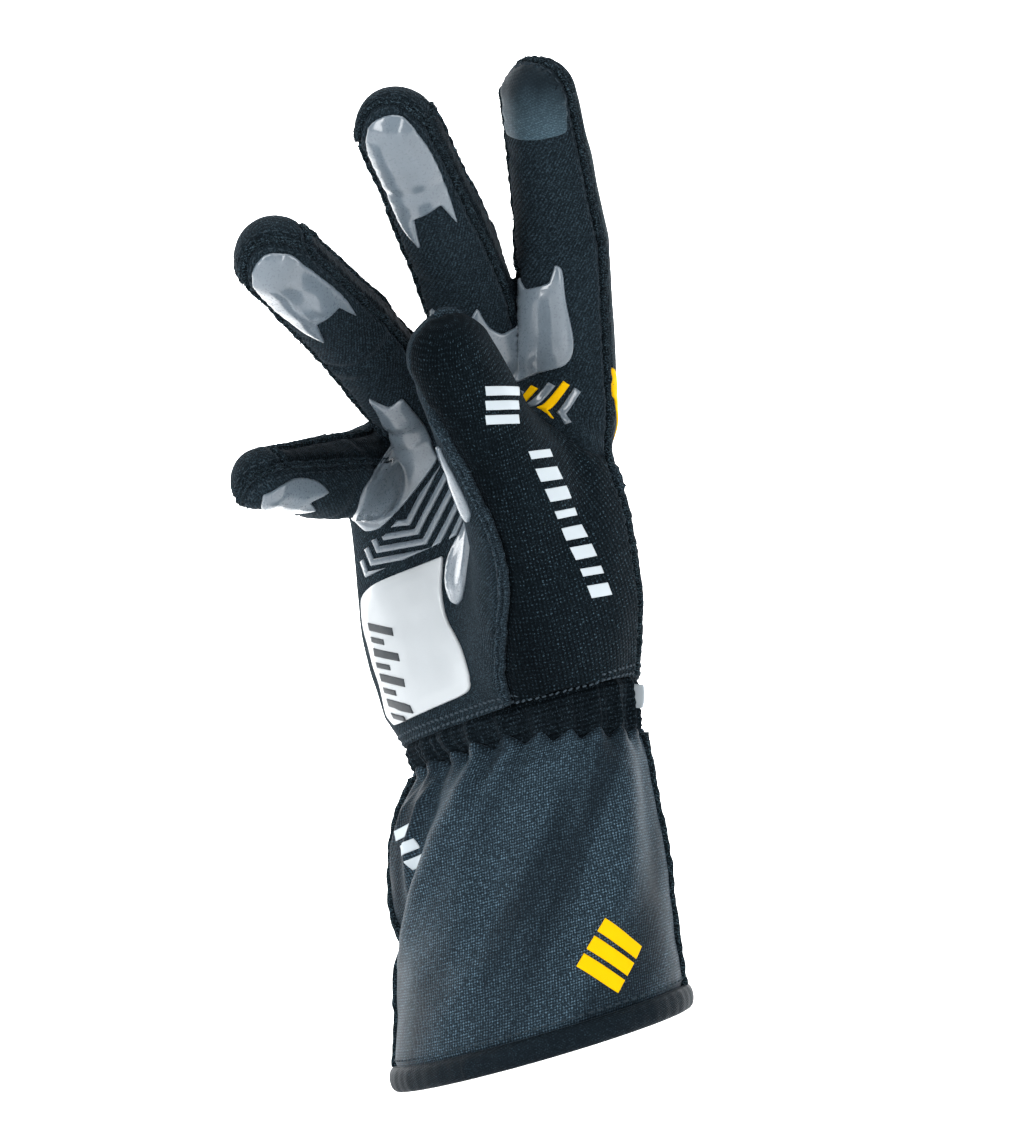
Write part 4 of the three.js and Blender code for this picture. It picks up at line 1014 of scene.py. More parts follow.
def cloth_pattern(n, kind, u, v):
    """Height of a cloth's threads, 0 to 1."""
    if kind == "fine":
        loops = n.math("MULTIPLY", n.wave(u, v, 0.75, 0.0), n.wave(u, v, 0.35, 1.4))
        return n.ranged(loops, -1, 1, 0, 1)
    if kind == "twill":
        rib = n.wave(u, v, 1.0, -0.62)
        return n.ranged(n.math("MULTIPLY_ADD", n.wave(u, v, 0.9, 1.5), 0.3, rib), -1.3, 1.3, 0, 1)
    if kind == "weave":
        crossing = n.math("MULTIPLY", n.wave(u, v, 0.66, 0.66), n.wave(u, v, 0.66, -0.66))
        return n.ranged(crossing, -1, 1, 0, 1)
    if kind == "rib":
        rows = n.wave(u, v, 0.0, 0.8)
        return n.ranged(n.math("MULTIPLY_ADD", n.wave(u, v, 1.1, 0.0), 0.35, rows), -1.35, 1.35, 0, 1)
    # loops of a coarse knit in upright wales
    wale = n.math("ABSOLUTE", n.wave(u, v, 1.15 / 2, 0.0))
    total = n.math("MULTIPLY_ADD", v, 0.85 * 2 * math.pi, n.math("MULTIPLY", wale, 2.2))
    return n.math("MULTIPLY", wale, n.ranged(n.math("SINE", total), -1, 1, 0.35, 1.0))


SPECULAR_TINT = (0.45, 0.72, 1.0, 1)
SHEEN_TINT = (0.6, 0.75, 0.9, 1)


def cloth(name, color, kind, depth=0.00018, contrast=0.6, sheen=0.05, rough=0.9, blotch=0.2,
          speck=0.8, glint=6.0, sparse=(0.5, 0.62), level=0.05, tint=None, gaps=(0.1, 0.4),
          drape=0.0):
    """Woven or knitted cloth: threads, specks of lighter fibre and painted glint, soft blotches and a slight
    sheen.

    sparse is the range of the noise over which specks appear; gaps is the threads' height up to
    which the specks keep a lower share, and that share; tint gives a place axis, two places on it
    and the factor the cloth lightens by between them, painted light where more light falls; drape is
    the strength of painted shade: long soft lighter and darker streaks that run with the folds.
    """
    n = Nodes(name)
    u, v, _ = n.parts(n.node("ShaderNodeUVMap", uv_map="UVMap").outputs[0])
    height = cloth_pattern(n, kind, u, v)
    fibre = n.noise(2300, 1.5, 0.65)
    tone = n.mix(height, shade(color, 1 - contrast), shade(color, 1 + contrast))
    tone = n.mix(n.ranged(n.noise(70, 3.0, 0.6), 0.35, 0.7, 0, blotch), tone, shade(color, 2.2))
    # lighter specks, mostly on the thread tops: partly lighter fibres, partly painted glints
    lit = n.math("MULTIPLY", n.ranged(fibre, *sparse, 0, speck),
                 n.ranged(height, gaps[0], 0.8, gaps[1], 1))
    tone = n.mix(lit, tone, shade(color, glint))
    # painted light: the colour lightens by a factor between two places along an axis, where more light falls
    if tint:
        axis, start, end, factor = tint
        wander = n.math("MULTIPLY_ADD", n.noise(60, 3.0, 0.6), 0.012, -0.006)
        along = n.math("ADD", n.parts(n.place())[axis], wander)
        tone = n.mix(n.ranged(along, start, end, 0, 1), tone, n.scaled(tone, factor))
    # painted shade: long soft lighter and darker streaks in the colour, slanted to run with the folds,
    # standing for their shading
    if drape:
        slanted = n.node("ShaderNodeCombineXYZ")
        n.put(slanted.inputs[0], n.math("MULTIPLY_ADD", v, -0.021, n.math("MULTIPLY", u, 0.042)))
        n.put(slanted.inputs[1], n.math("MULTIPLY", v, 0.012))
        shadow = n.noise(1.0, 2.0, 0.5, slanted.outputs[0])
        tone = n.mix(n.ranged(shadow, 0.41, 0.59, 0, 1), n.scaled(tone, 1 - drape),
                     n.scaled(tone, 1 + drape))
    lumps = n.bump(n.noise(260, 3.0, 0.6), 0.0003, 0.5)
    threads = n.bump(height, depth, 0.8, lumps)
    return n.look(Base_Color=tone, Roughness=rough, Specular_IOR_Level=level,
                  Specular_Tint=SPECULAR_TINT, Sheen_Weight=sheen, Sheen_Roughness=0.4,
                  Sheen_Tint=SHEEN_TINT, Normal=n.bump(fibre, 0.00012, 0.6, threads))


def silicone(name, color, rough, coat=0.0, mottle=0.12, level=0.5):
    """Smooth rubber with a fine grain, soft mottling and a slightly wavy surface."""
    n = Nodes(name)
    grain = n.noise(1500, 3.0, 0.6)
    tone = n.mix(n.ranged(n.noise(45, 3.0, 0.55), 0.3, 0.7, 0, 1), shade(color, 1 - mottle),
                 shade(color, 1 + mottle))
    wavy = n.bump(n.noise(160, 2.0, 0.5), 0.00018, 0.35)
    return n.look(Base_Color=tone, Roughness=n.ranged(grain, 0.3, 0.7, rough - 0.04, rough + 0.08),
                  IOR=1.43, Specular_IOR_Level=level, Coat_Weight=coat, Coat_Roughness=0.08,
                  Normal=n.bump(grain, 0.00005, 0.4, wavy))


def thread(name, color):
    n = Nodes(name)
    twist = n.noise(5200, 1.0, 0.5)
    tone = n.mix(n.ranged(twist, 0.35, 0.65, 0, 1), shade(color, 0.6), shade(color, 1.4))
    return n.look(Base_Color=tone, Roughness=0.7, Specular_IOR_Level=0.12,
                  Normal=n.bump(twist, 0.0001, 0.6))


# each cloth's colour, pattern and settings
CLOTHS = {
    "palm_twill": ((0.0056, 0.0090, 0.0117), "twill", dict(contrast=0.45, speck=0.9, glint=5.5)),
    "back_knit": ((0.0050, 0.0080, 0.0103), "fine", dict(speck=0.9, glint=7, sparse=(0.54, 0.64))),
    # the thumb's knit lightens towards the thumb's outer side: painted light
    "thumb_knit": ((0.0015, 0.0026, 0.0034), "coarse", dict(
        depth=0.00025, speck=1.0, glint=18, sheen=0.03, sparse=(0.56, 0.69),
        tint=(0, 0.027, 0.037, 2.2), gaps=(0.4, 0.15))),
    "side_knit": ((0.0026, 0.0042, 0.0054), "fine", dict(speck=0.9, glint=9, sparse=(0.55, 0.65))),
    "elastic": ((0.0030, 0.0048, 0.0062), "rib", dict(speck=0.9, glint=10, sparse=(0.56, 0.66))),
    "hem_knit": ((0.0018, 0.0030, 0.0039), "fine", dict(
        depth=0.0001, speck=0.8, glint=9, level=0.12, rough=0.6, sheen=0.02, sparse=(0.56, 0.66))),
    # the cuff's weave carries painted shade in soft streaks along its folds
    "cuff_weave": ((0.0046, 0.0078, 0.0104), "weave", dict(
        contrast=0.85, blotch=0.1, speck=1.0, glint=13, sheen=0.04, level=0.16, rough=0.55,
        sparse=(0.46, 0.62), gaps=(0.4, 0.06), drape=0.5)),
    # the touch patch lightens towards its lower end: painted light
    "touch_patch": ((0.0036, 0.0060, 0.0076), "fine", dict(
        contrast=0.25, rough=0.55, depth=0.00006, speck=0.7, glint=2.5, level=0.14,
        tint=(2, 0.172, 0.158, 9.5))),
    "raw_edge": ((0.0036, 0.0058, 0.0073), "fine", dict(contrast=0.7, speck=1.0, glint=12)),
    "piping": ((0.0085, 0.0135, 0.0175), "fine", dict(contrast=0.6, speck=1.0, glint=6.5)),
}
SILICONES = {
    "silicone_grey": ((0.116, 0.148, 0.178), 0.28, dict(coat=0.9)),
    "silicone_white": ((0.405, 0.437, 0.46), 0.34, dict(coat=0.6, mottle=0.03)),
    "print_yellow": ((0.76, 0.43, 0.0003), 0.6, dict(mottle=0.05, level=0.05)),
    "print_light": ((0.46, 0.52, 0.56), 0.5, dict(mottle=0.06)),
    "print_dark": ((0.02, 0.026, 0.032), 0.4, {}),
}
THREADS = {
    "thread": (0.019, 0.030, 0.039),
    # a lighter thread for the wrist's stitches, also used for the strand that paints the highlight beside
    # the thumb's piping
    "thread_light": (0.034, 0.050, 0.064),
    "fibre": (0.015, 0.027, 0.038),
}
MATERIALS = {name: cloth(name, color, kind, **settings)
             for name, (color, kind, settings) in CLOTHS.items()}
MATERIALS.update({name: silicone(name, color, rough, **settings)
                  for name, (color, rough, settings) in SILICONES.items()})
MATERIALS.update({name: thread(name, color) for name, color in THREADS.items()})

# ---------------------------------------------------------------- hand
CELL = 1.3
# the line from which the thumb panel's cloth is unrolled, its radius and the cut's angle, which
# lies on the palm's side, where the panel does not reach
THUMB_AXIS = np.array([(6.0, 6.0, 0.0), (24.0, -58.0, 104.0)])
THUMB_AXIS_RADIUS, THUMB_CUT = 21.0, 20
CLOTH_BLEND = 5.0


def round_thumb(points):
    """Places round the thumb panel's axis and along it."""
    axis = unit(THUMB_AXIS[1] - THUMB_AXIS[0])
    across = points - THUMB_AXIS[0]
    side = unit(np.cross(axis, BACK))
    angle = np.arctan2(across @ side, across @ np.cross(side, axis)) - math.radians(THUMB_CUT)
    angle = (angle + np.pi) % (2 * np.pi) - np.pi
    return np.stack([THUMB_AXIS_RADIUS * angle, across @ axis], 1)


def round_finger(view, reference):
    """Millimetres round a finger from an angle in degrees."""
    return np.radians(half_turn(view["angle"] - reference)) * np.maximum(view["radius"], 6)


def cloth_places(points, seen, panel):
    """Where skin points lie in the cloth, across and along, in millimetres."""
    if panel == "thumb_panel":
        return round_thumb(points)
    palm, back = panel == "palm_panel", panel == "back_panel"
    reference = 0.0 if palm else 180.0 if back else 90.0

    def across(name, view):
        if name == "palm":
            return points[:, 0] if palm else -points[:, 0] if back else points[:, 1] + 48
        if name == "thumb":
            return round_finger(view, 0.0) + 20 if palm else -round_finger(view, 180.0)
        base = FINGERS[name]["base"][0]
        return round_finger(view, reference) + (-base if back else base)

    def along(name, view):
        if name == "palm":
            return points[:, 2]
        return view["s"] + (FINGERS[name]["base"][2] if name in FINGERS else 0)

    return np.stack([blended(seen, value_on, CLOTH_BLEND) for value_on in (across, along)], 1)


skin_points, skin_quads = skin_mesh(CELL)
skin_points = relaxed(skin_points, skin_quads, 3)
skin_triangles = triangulated(skin_points, skin_quads)
wrist_value = above_wrist(skin_points)
skin_points, skin_triangles, _, wrist_value = split_at(
    skin_points, skin_triangles, np.zeros((len(skin_points), 1)), wrist_value)
skin_triangles = skin_triangles[(wrist_value[skin_triangles] > 0).any(1)]
skin_triangles, used = compact(skin_triangles, len(skin_points))
skin_points = skin_points[used]
panel_values = np.stack([value_at(skin_points) for value_at in PANEL_VALUES.values()], 1)
# each panel takes what the panels before it leave, and the palm panel takes the rest
for number in range(len(PANEL_VALUES)):
    own = panel_values[:, number]
    if number:
        own = np.minimum(own, -panel_values[:, :number].max(1))
    skin_points, skin_triangles, panel_values, own = split_at(
        skin_points, skin_triangles, panel_values, own)
    panel_values[own == 0, number] = np.minimum(panel_values[own == 0, number], 0)
label = np.full(len(skin_triangles), len(PANEL_VALUES))
for number in range(len(PANEL_VALUES)):
    mine = (panel_values[skin_triangles, number] > 1e-9).any(1) & (label == len(PANEL_VALUES))
    label[mine] = number
label = settled(skin_triangles, label)
wrist_edge = np.abs(above_wrist(skin_points)) < 0.3
plain_points, skin_normal = onto_skin(skin_points, 2)
skin_points = np.where(wrist_edge[:, None], skin_points, plain_points)
skin_seen = see_all(skin_points)
skin_depth = fold_depth(skin_points, skin_seen)

# ---------------------------------------------------------------- outlines of the pads
OUTLINE_STEP = 0.45
OUTLINE_CORNER = 48.0
PAD_CLEAR = 1.2
# finger pads lie in a plane on a finger at a place along it; the others face an azimuth and an
# elevation; outlines are (across, along) in the plane and depth is the range that is searched
PADS = {
    "touch_patch_index": dict(on="index", s=80, depth=(1.5, 20), outline=[
        (-9.2, 0.3), (9.2, 0), (9.4, 11), (6.8, 18), (2.5, 21.4), (-2.5, 21.4), (-6.8, 18), (-9.4, 11)]),
    "pad_middle_tip": dict(on="middle", s=80, depth=(1.5, 20), outline=[
        (0, 22.5), (-4.2, 21), (-6.8, 16), (-7.2, 6), (-7.2, -10), (-4.4, -18), (-2.8, -8.2),
        (5, -6.2), (6.9, -14.1), (7.6, -4), (7.4, 11.1), (6.2, 18), (4, 21.5)]),
    "pad_ring_tip": dict(on="ring", s=78, depth=(1.5, 20), outline=[
        (0, 19.6), (-4.2, 18), (-6.8, 13.5), (-7.4, 2), (-6.2, -9), (-3.8, -16.9), (-1.4, -7.9),
        (5.3, -8.1), (6.8, -16.4), (7.6, -9), (7.2, 3), (6, 15.5), (3.2, 18.6)]),
    "pad_pinky_tip": dict(on="pinky", s=60, depth=(1.5, 20), outline=[
        (-0.5, 12.6), (-4.2, 10), (-6.2, 4), (-6.2, -6.4), (-3, -12), (-0.5, -6.6), (3, -12),
        (5, -6.4), (5.4, 2), (3.6, 9)]),
    "pad_index_middle_base": dict(azimuth=12, elevation=-8, depth=(10, 70), outline=[
        (27.6, 129.5), (25.9, 130.9), (24.2, 126), (21.3, 125.1), (16.4, 124.2), (14.6, 127.6),
        (13.2, 121), (12.6, 115), (10, 112.4), (7.8, 115), (6.4, 120.6), (3.4, 116.4),
        (-3, 116.8), (-6.2, 121), (-9.6, 113), (-11.6, 106), (-8.6, 99), (2, 97), (12, 99),
        (19, 101.6), (25.9, 103.3), (28.3, 105.6), (29.1, 110.9), (28, 121)]),
    "pad_ring_pinky_base": dict(azimuth=12, elevation=-30, depth=(-24, 12), outline=[
        (-24.6, 103.6), (-20.6, 99.2), (-16.8, 101.5), (-15.6, 93), (-14.6, 83), (-13.2, 79.4),
        (-15.6, 76.2), (-23.3, 68.2), (-33.9, 59), (-39, 57), (-43.5, 59.5), (-41, 64),
        (-35.6, 69), (-29.5, 77), (-26.4, 85), (-25, 94)]),
    "pad_thumb_strip": dict(field=thumb_distance, azimuth=-15, elevation=-18, depth=(12, 40), outline=[
        (31, 92), (33, 91.4), (34, 84), (34.4, 76.5), (34, 72), (31.5, 69.2), (29.5, 70.4),
        (28.6, 74.5), (29, 82)]),
    "pad_thumb_drop": dict(azimuth=-20, elevation=-4, depth=(16, 40), outline=[
        (13.6, 62), (11, 57.6), (6.6, 52.5), (4.2, 47.5), (4, 42), (6, 37.6), (9, 36.4), (12.4, 38.4),
        (16, 44), (18.4, 51), (17.6, 57.6)]),
    "palm_block": dict(azimuth=-4, elevation=-4, depth=(8, 40), outline=[
        (-37.8, 36), (-35.4, 39), (-29.4, 42), (-5, 50), (-5.6, 41), (-4, 33.6), (0.6, 28), (4.3, 23),
        (5.6, 17.4), (3.6, 13.4), (-5, 9.6), (-24.6, 2.6), (-29, 1.4), (-31, 4), (-31.6, 12),
        (-34, 20), (-37, 28)]),
    "knuckle_print": dict(azimuth=110, elevation=0, depth=(20, 40), outline=[
        (-28.4, 99.5), (-25.2, 98), (-15, 82), (-12.6, 74), (-19.4, 79), (-27.6, 91.5)]),
}


def plane_axes(plane):
    if "on" in plane:
        at = tube_frame(TUBES[plane["on"]], np.array([float(plane["s"])]))
        return at["point"][0], at["normal"][0], at["side"][0], at["direction"][0]
    return (np.zeros(3), *view_axes(plane["azimuth"], plane["elevation"]))


def rounded(outline):
    """A closed outline with smooth runs between its corners, evenly resampled."""
    outline = np.asarray(outline, float)
    before, after = np.roll(outline, 1, 0), np.roll(outline, -1, 0)
    a, b = unit(outline - before), unit(after - outline)
    turn = np.degrees(np.abs(np.arctan2(a[:, 0] * b[:, 1] - a[:, 1] * b[:, 0], np.sum(a * b, 1))))
    sharp = turn > OUTLINE_CORNER
    points = []
    for i in range(len(outline)):
        p1, p2 = outline[i], outline[(i + 1) % len(outline)]
        p0 = 2 * p1 - p2 if sharp[i] else outline[i - 1]
        p3 = 2 * p2 - p1 if sharp[(i + 1) % len(outline)] else outline[(i + 2) % len(outline)]
        size = np.linalg.norm(p2 - p1)
        # the slopes are held back where a neighbouring side is longer than this one
        m1, m2 = [m * min(1, size / max(np.linalg.norm(m), 1e-6)) for m in ((p2 - p0) / 2, (p3 - p1) / 2)]
        t = np.linspace(0, 1, max(int(size / OUTLINE_STEP), 2) + 1)[:-1, None]
        points.append((2 * t ** 3 - 3 * t ** 2 + 1) * p1 + (t ** 3 - 2 * t ** 2 + t) * m1
                      + (3 * t ** 2 - 2 * t ** 3) * p2 + (t ** 3 - t ** 2) * m2)
    line = np.vstack([*points, points[0][:1]])
    line = smoothed(line, 2, closed=True)
    run = run_along(line)
    count = max(int(run[-1] / OUTLINE_STEP), 6)
    return at_runs(np.linspace(0, run[-1], count + 1)[:-1], run, line)


def outline_distance(points, outline):
    """Distance to a closed outline, positive inside."""
    a, b = outline, np.roll(outline, -1, 0)
    side = b - a
    t = np.clip(np.einsum("psk,sk->ps", points[:, None] - a[None], side) / np.sum(side ** 2, 1), 0, 1)
    near = a[None] + t[..., None] * side[None]
    away = np.linalg.norm(points[:, None] - near, axis=2).min(1)
    x, y = points[:, :1], points[:, 1:]
    spans = (a[None, :, 1] > y) != (b[None, :, 1] > y)
    crossing = a[None, :, 0] + (y - a[None, :, 1]) / np.where(side[None, :, 1] == 0, 1e-9,
                                                              side[None, :, 1]) * side[None, :, 0]
    inside = (spans & (x < crossing)).sum(1) % 2 == 1
    return np.where(inside, away, -away)


def under_pads(points, normal):
    """True where the pads between the finger roots cover the skin."""
    covered = np.zeros(len(points), bool)
    for name in ("pad_index_middle_base", "pad_ring_pinky_base"):
        origin, facing, across, along = plane_axes(PADS[name])
        flat = np.stack([(points - origin) @ across, (points - origin) @ along], 1)
        inside = outline_distance(flat, rounded(PADS[name]["outline"])) > -PAD_CLEAR
        covered |= inside & (normal @ facing > 0)
    return covered


# ---------------------------------------------------------------- seams
FLAT, OUTSEAM, PIPED = "flat", "outseam", "piped"
# height of the seam's ridge, its half width, depth and half width of the groove beside it
SEAM_FORMS = {FLAT: (0.0, 0.0, 0.9, 1.0), OUTSEAM: (1.3, 0.85, 0.8, 1.4), PIPED: (1.9, 1.3, 0.9, 1.8)}
SEAM_STEP, SHORTEST_SEAM = 0.7, 6
# beside the groove the cloth swells, and it puckers: height, distance from the seam, pitch along it
SWELL, SWELL_AT = 0.3, 3.0
PUCKER, PUCKER_AT, PUCKER_PITCH = 0.22, 2.0, 3.4


THUMB_PAIR = {"palm_panel", "thumb_panel"}


def on_level(line, below, x):
    """Where a line lies in the level seam over the side panel."""
    return (line[:, 2] > SIDE_TOP - below) & (line[:, 0] > x)


def seam_kind(pair, line):
    if set(pair) != THUMB_PAIR:
        return OUTSEAM
    return FLAT if on_level(line, 3, 30).mean() > 0.6 else PIPED


edges, owner_one, owner_other = edge_pairs(skin_triangles)
differs = label[owner_one] != label[owner_other]
seam_edges = edges[differs]
seam_pairs = np.sort(np.stack([label[owner_one[differs]], label[owner_other[differs]]], 1), 1)
seams = []
for one, other in np.unique(seam_pairs, axis=0):
    pair = (PANEL_NAMES[one], PANEL_NAMES[other])
    for chain in chains(seam_edges[(seam_pairs == (one, other)).all(1)]):
        closed = chain[0] == chain[-1]
        line = smoothed(skin_points[chain], 6, closed)
        if run_along(line)[-1] < SHORTEST_SEAM:
            continue
        # the level seam over the side panel turns into the thumb's own seam at a corner
        level = on_level(line, 2.5, 28)
        pieces = [line]
        if set(pair) == THUMB_PAIR and level.any():
            turns = np.nonzero(np.diff(level.astype(int)))[0]
            pieces = [p for p in np.split(line, turns + 1) if len(p) > 4]
        for piece in pieces:
            line, normal = onto_skin(resampled(piece, SEAM_STEP), 2)
            kind, covered = seam_kind(pair, line), under_pads(line, normal)
            # a seam stops where a pad covers it
            for run in np.split(np.arange(len(line)), np.nonzero(np.diff(covered.astype(int)))[0] + 1):
                if len(run) > 5 and not covered[run[0]]:
                    seams.append(dict(kind=kind, line=line[run], normal=normal[run], pair=pair,
                                      closed=closed and not covered.any()))

seam_points = np.vstack([seam["line"] for seam in seams])
seam_forms = np.vstack([np.tile(SEAM_FORMS[seam["kind"]], (len(seam["line"]), 1)) for seam in seams])
seam_run = np.concatenate([np.arange(len(seam["line"])) * SEAM_STEP for seam in seams])


def seam_depth(points):
    """How far the groove, swell and pucker of the nearest seam raise the cloth."""
    nearest = nearest_of(points, seam_points, 4000)
    away = np.linalg.norm(points - seam_points[nearest], axis=1)
    forms, run = seam_forms[nearest], seam_run[nearest]
    groove = -forms[:, 2] * hill(away, forms[:, 3])
    swell = SWELL * hill(away - SWELL_AT, 1.6)
    wave = np.sin(2 * np.pi * run / PUCKER_PITCH + 1.7 * np.sin(run / 5.1))
    return groove + swell + PUCKER * wave * hill(away - PUCKER_AT, 2.2)


skin_final = skin_points + skin_normal * (skin_depth + seam_depth(skin_points))[:, None]
skin_inner = skin_points - skin_normal * WALL
PANEL_SLOT = {"palm_panel": "palm_twill", "back_panel": "back_knit", "thumb_panel": "thumb_knit"}
for number, panel in enumerate(PANEL_NAMES):
    verts, faces, used = shell(skin_final, skin_triangles[label == number], skin_inner)
    seen = {name: {key: view[key][used] for key in view if np.ndim(view[key])}
            for name, view in skin_seen.items()}
    uv = cloth_places(skin_points[used], seen, panel)
    slot = PANEL_SLOT.get(panel, "side_knit")
    add_piece(f"{panel}_cloth", verts, faces, slot, slot, [panel], np.vstack([uv, uv]))


def surface_depth(points):
    return fold_depth(points) + seam_depth(points)


def wobble(count, size, seed, smooth=3):
    """Smooth random offsets along a line, with a given spread."""
    noise = np.random.default_rng(seed).normal(size=count + 20)
    for _ in range(smooth):
        noise = np.convolve(noise, [0.25, 0.5, 0.25], mode="same")
    noise = noise[10:10 + count]
    return size * noise / max(noise.std(), 1e-6)


# section of a raised seam: two plies side by side with a slit between their raw edges
TWO_PLIES = np.array([(-1, -0.8), (-1.0, 0.45), (-0.8, 0.95), (-0.45, 1.0), (-0.14, 0.72), (0.0, 0.5),
                      (0.14, 0.72), (0.45, 1.0), (0.8, 0.95), (1.0, 0.45), (1, -0.8)][::-1])
PIPING_SHIFT = 0.9
# how far a ridge stands off the cloth, and how much it wanders out, sideways and in size
RIDGE_LIFT, RIDGE_WANDER, RIDGE_TAPER = 0.35, (0.10, 0.12, 0.06), 2.0


def toward_palm(line, side):
    """1 or -1: the way along the side that leads off the thumb panel."""
    return -1.0 if np.mean(inside_thumb_panel(line + 2 * side)) > 0 else 1.0


ridge_parts = {OUTSEAM: [], PIPED: []}
for i, seam in enumerate(seams):
    height, half, _, _ = SEAM_FORMS[seam["kind"]]
    if not height:
        continue
    line, normal = seam["line"], seam["normal"]
    count = len(line)
    out, sideways, in_size = RIDGE_WANDER
    line = line + normal * (surface_depth(line) + RIDGE_LIFT + wobble(count, out, 100 + i))[:, None]
    side = seam_side(line, normal)
    line = line + side * wobble(count, sideways, 200 + i)[:, None]
    if seam["kind"] == PIPED:
        line = line + side * toward_palm(line, side) * PIPING_SHIFT
    run = np.arange(count) * SEAM_STEP
    scale = 1 + wobble(count, in_size, 300 + i, 2)
    if not seam["closed"]:
        scale = scale * np.clip(np.minimum(run, run[::-1]) / RIDGE_TAPER + 0.35, 0, 1)
    ridge_parts[seam["kind"]].append(
        swept(line, normal, TWO_PLIES * (half, height), seam["closed"], scale))
add_merged("outseams", ridge_parts[OUTSEAM], "raw_edge", "side_knit", mapped=True)
add_merged("thumb_piping", ridge_parts[PIPED], "piping", "side_knit", mapped=True)

# ---------------------------------------------------------------- raised pads and prints
PAD_HEIGHT, PAD_DOME, DOME_REACH = 0.95, 0.45, 4.0
PAD_SINK, PAD_BEVEL = 0.25, 0.6
PAD_SPACING, CHEVRON_SPACING = 0.9, 0.6
PALM_PLANE = dict(azimuth=0, elevation=-6, depth=(12, 27))
PALM_CHEVRON_AREA = [
    (-45, 40.5), (-33, 44.9), (-4.7, 55.4), (1, 57.6), (1, 68), (-6.5, 76), (-9, 73.4),
    (-16.6, 65.7), (-27.6, 56), (-33, 54.4), (-45, 54.4)]
# of the palm's chevrons: stroke, height, the inner one's corners and each further one's step
PALM_STROKE, PALM_CHEVRON_HEIGHT = 1.9, 0.7
PALM_RIGHT, PALM_RIGHT_STEP = np.array([-18.7, 59.9]), np.array([2.75, -2.6])
PALM_LEFT, PALM_LEFT_STEP = np.array([-24.5, 59.3]), np.array([-2.8, -3.7])
PALM_LEFT_ARM, PALM_RIGHT_ARM = 4.5 * np.array([-0.46, 0.89]), 30 * np.array([0.565, 0.825])
SIDE_PLANE = dict(azimuth=35, elevation=8, depth=(44, 60))
# place across, drop and lean of the upper arm of each chevron under the index finger
SIDE_CHEVRONS = [(-5.2, 7.2, 5), (-1.9, 7.8, 5.2), (1.9, 8.4, 5.6), (5.3, 8.6, 5.9), (9.8, 6.8, 4.4)]
SIDE_CORNER, SIDE_FOOT_DROP, SIDE_FOOT_LEAN, SIDE_STROKE = 79.7, 2.9, 1.5, 2.1
SIDE_CHEVRON_HEIGHT = 0.5


# the search against a plane's facing: how far before the plane's range of depth it starts and how
# far beyond it ends, the most steps, and how often the last step is halved
CAST_MARGIN, CAST_BEYOND, CAST_STEPS, CAST_HALVINGS = 6, 8, 70, 8


def hand_without_thumb(points):
    return hand_distance(points, thumb=False)


def cast(plane, uv):
    """Places on the skin that a plane's points meet, going against the way it faces."""
    origin, facing, across, along = plane_axes(plane)
    low, high = plane["depth"]
    start = origin + uv[:, :1] * across + uv[:, 1:] * along
    field = plane.get("field", hand_without_thumb)
    depth = np.full(len(uv), float(high) + CAST_MARGIN)
    best, best_value = depth.copy(), np.full(len(uv), FAR)
    hit = np.zeros(len(uv), bool)
    outside = depth.copy()
    for _ in range(CAST_STEPS):
        value = field(start + depth[:, None] * facing)
        closer = (value < best_value) & ~hit
        best[closer], best_value[closer] = depth[closer], value[closer]
        hit |= value < 0
        outside = np.where(hit, outside, depth)
        depth = np.where(hit, depth, depth - np.clip(0.6 * value, 0.25, 3))
        if hit.all() or (depth[~hit] < low - CAST_BEYOND).all():
            break
    inner = depth.copy()
    for _ in range(CAST_HALVINGS):
        middle = (inner + outside) / 2
        below = field(start + middle[:, None] * facing) < 0
        inner, outside = np.where(below, middle, inner), np.where(below, outside, middle)
    places = start + np.where(hit, outside, best)[:, None] * facing
    return onto_skin(places, 3)


# how far inside a pad's edge the two rings of points lie that shape its rounded rim
RIM_INSETS = (0.18, 0.42)


def pad_sheet(outlines, spacing):
    """Triangles over the area inside all the outlines, closely spaced near its edge."""
    points, links = [], []
    for outline in outlines:
        start = sum(len(p) for p in points)
        count = len(outline)
        points.append(outline)
        links += [(start + i, start + (i + 1) % count) for i in range(count)]

    def depth_of(places):
        return np.min([outline_distance(places, outline) for outline in outlines], axis=0)

    for inset in RIM_INSETS:
        for outline in outlines:
            along = unit(np.roll(outline, -1, 0) - np.roll(outline, 1, 0))
            area = np.sum(outline[:, 0] * np.roll(outline[:, 1], -1)
                          - outline[:, 1] * np.roll(outline[:, 0], -1))
            inward = np.stack([-along[:, 1], along[:, 0]], 1) * np.sign(area)
            ring = outline + inward * inset
            points.append(ring[np.abs(depth_of(ring) - inset) < 0.06])
    low = np.min([o.min(0) for o in outlines], axis=0)
    high = np.max([o.max(0) for o in outlines], axis=0)
    rows = np.arange(low[1], high[1], spacing * 0.866)
    grid = np.array([(x, y) for j, y in enumerate(rows)
                     for x in np.arange(low[0] + (j % 2) * spacing / 2, high[0], spacing)])
    points.append(grid[depth_of(grid) > RIM_INSETS[-1] + spacing * 0.45])
    coords = [Vector(p) for p in np.vstack(points).tolist()]
    verts, _, faces, _, _, _ = geometry.delaunay_2d_cdt(coords, links, [], 0, 1e-5)
    verts = np.array([tuple(v) for v in verts])
    faces = np.array([f for f in faces if len(f) == 3])
    faces, used = compact(faces[depth_of(verts[faces].mean(1)) > 0], len(verts))
    verts = verts[used]
    a, b, c = verts[faces[:, 0]], verts[faces[:, 1]], verts[faces[:, 2]]
    clockwise = (b[:, 0] - a[:, 0]) * (c[:, 1] - a[:, 1]) < (b[:, 1] - a[:, 1]) * (c[:, 0] - a[:, 0])
    faces[clockwise] = faces[clockwise][:, ::-1]
    return verts, faces, np.maximum(depth_of(verts), 0)


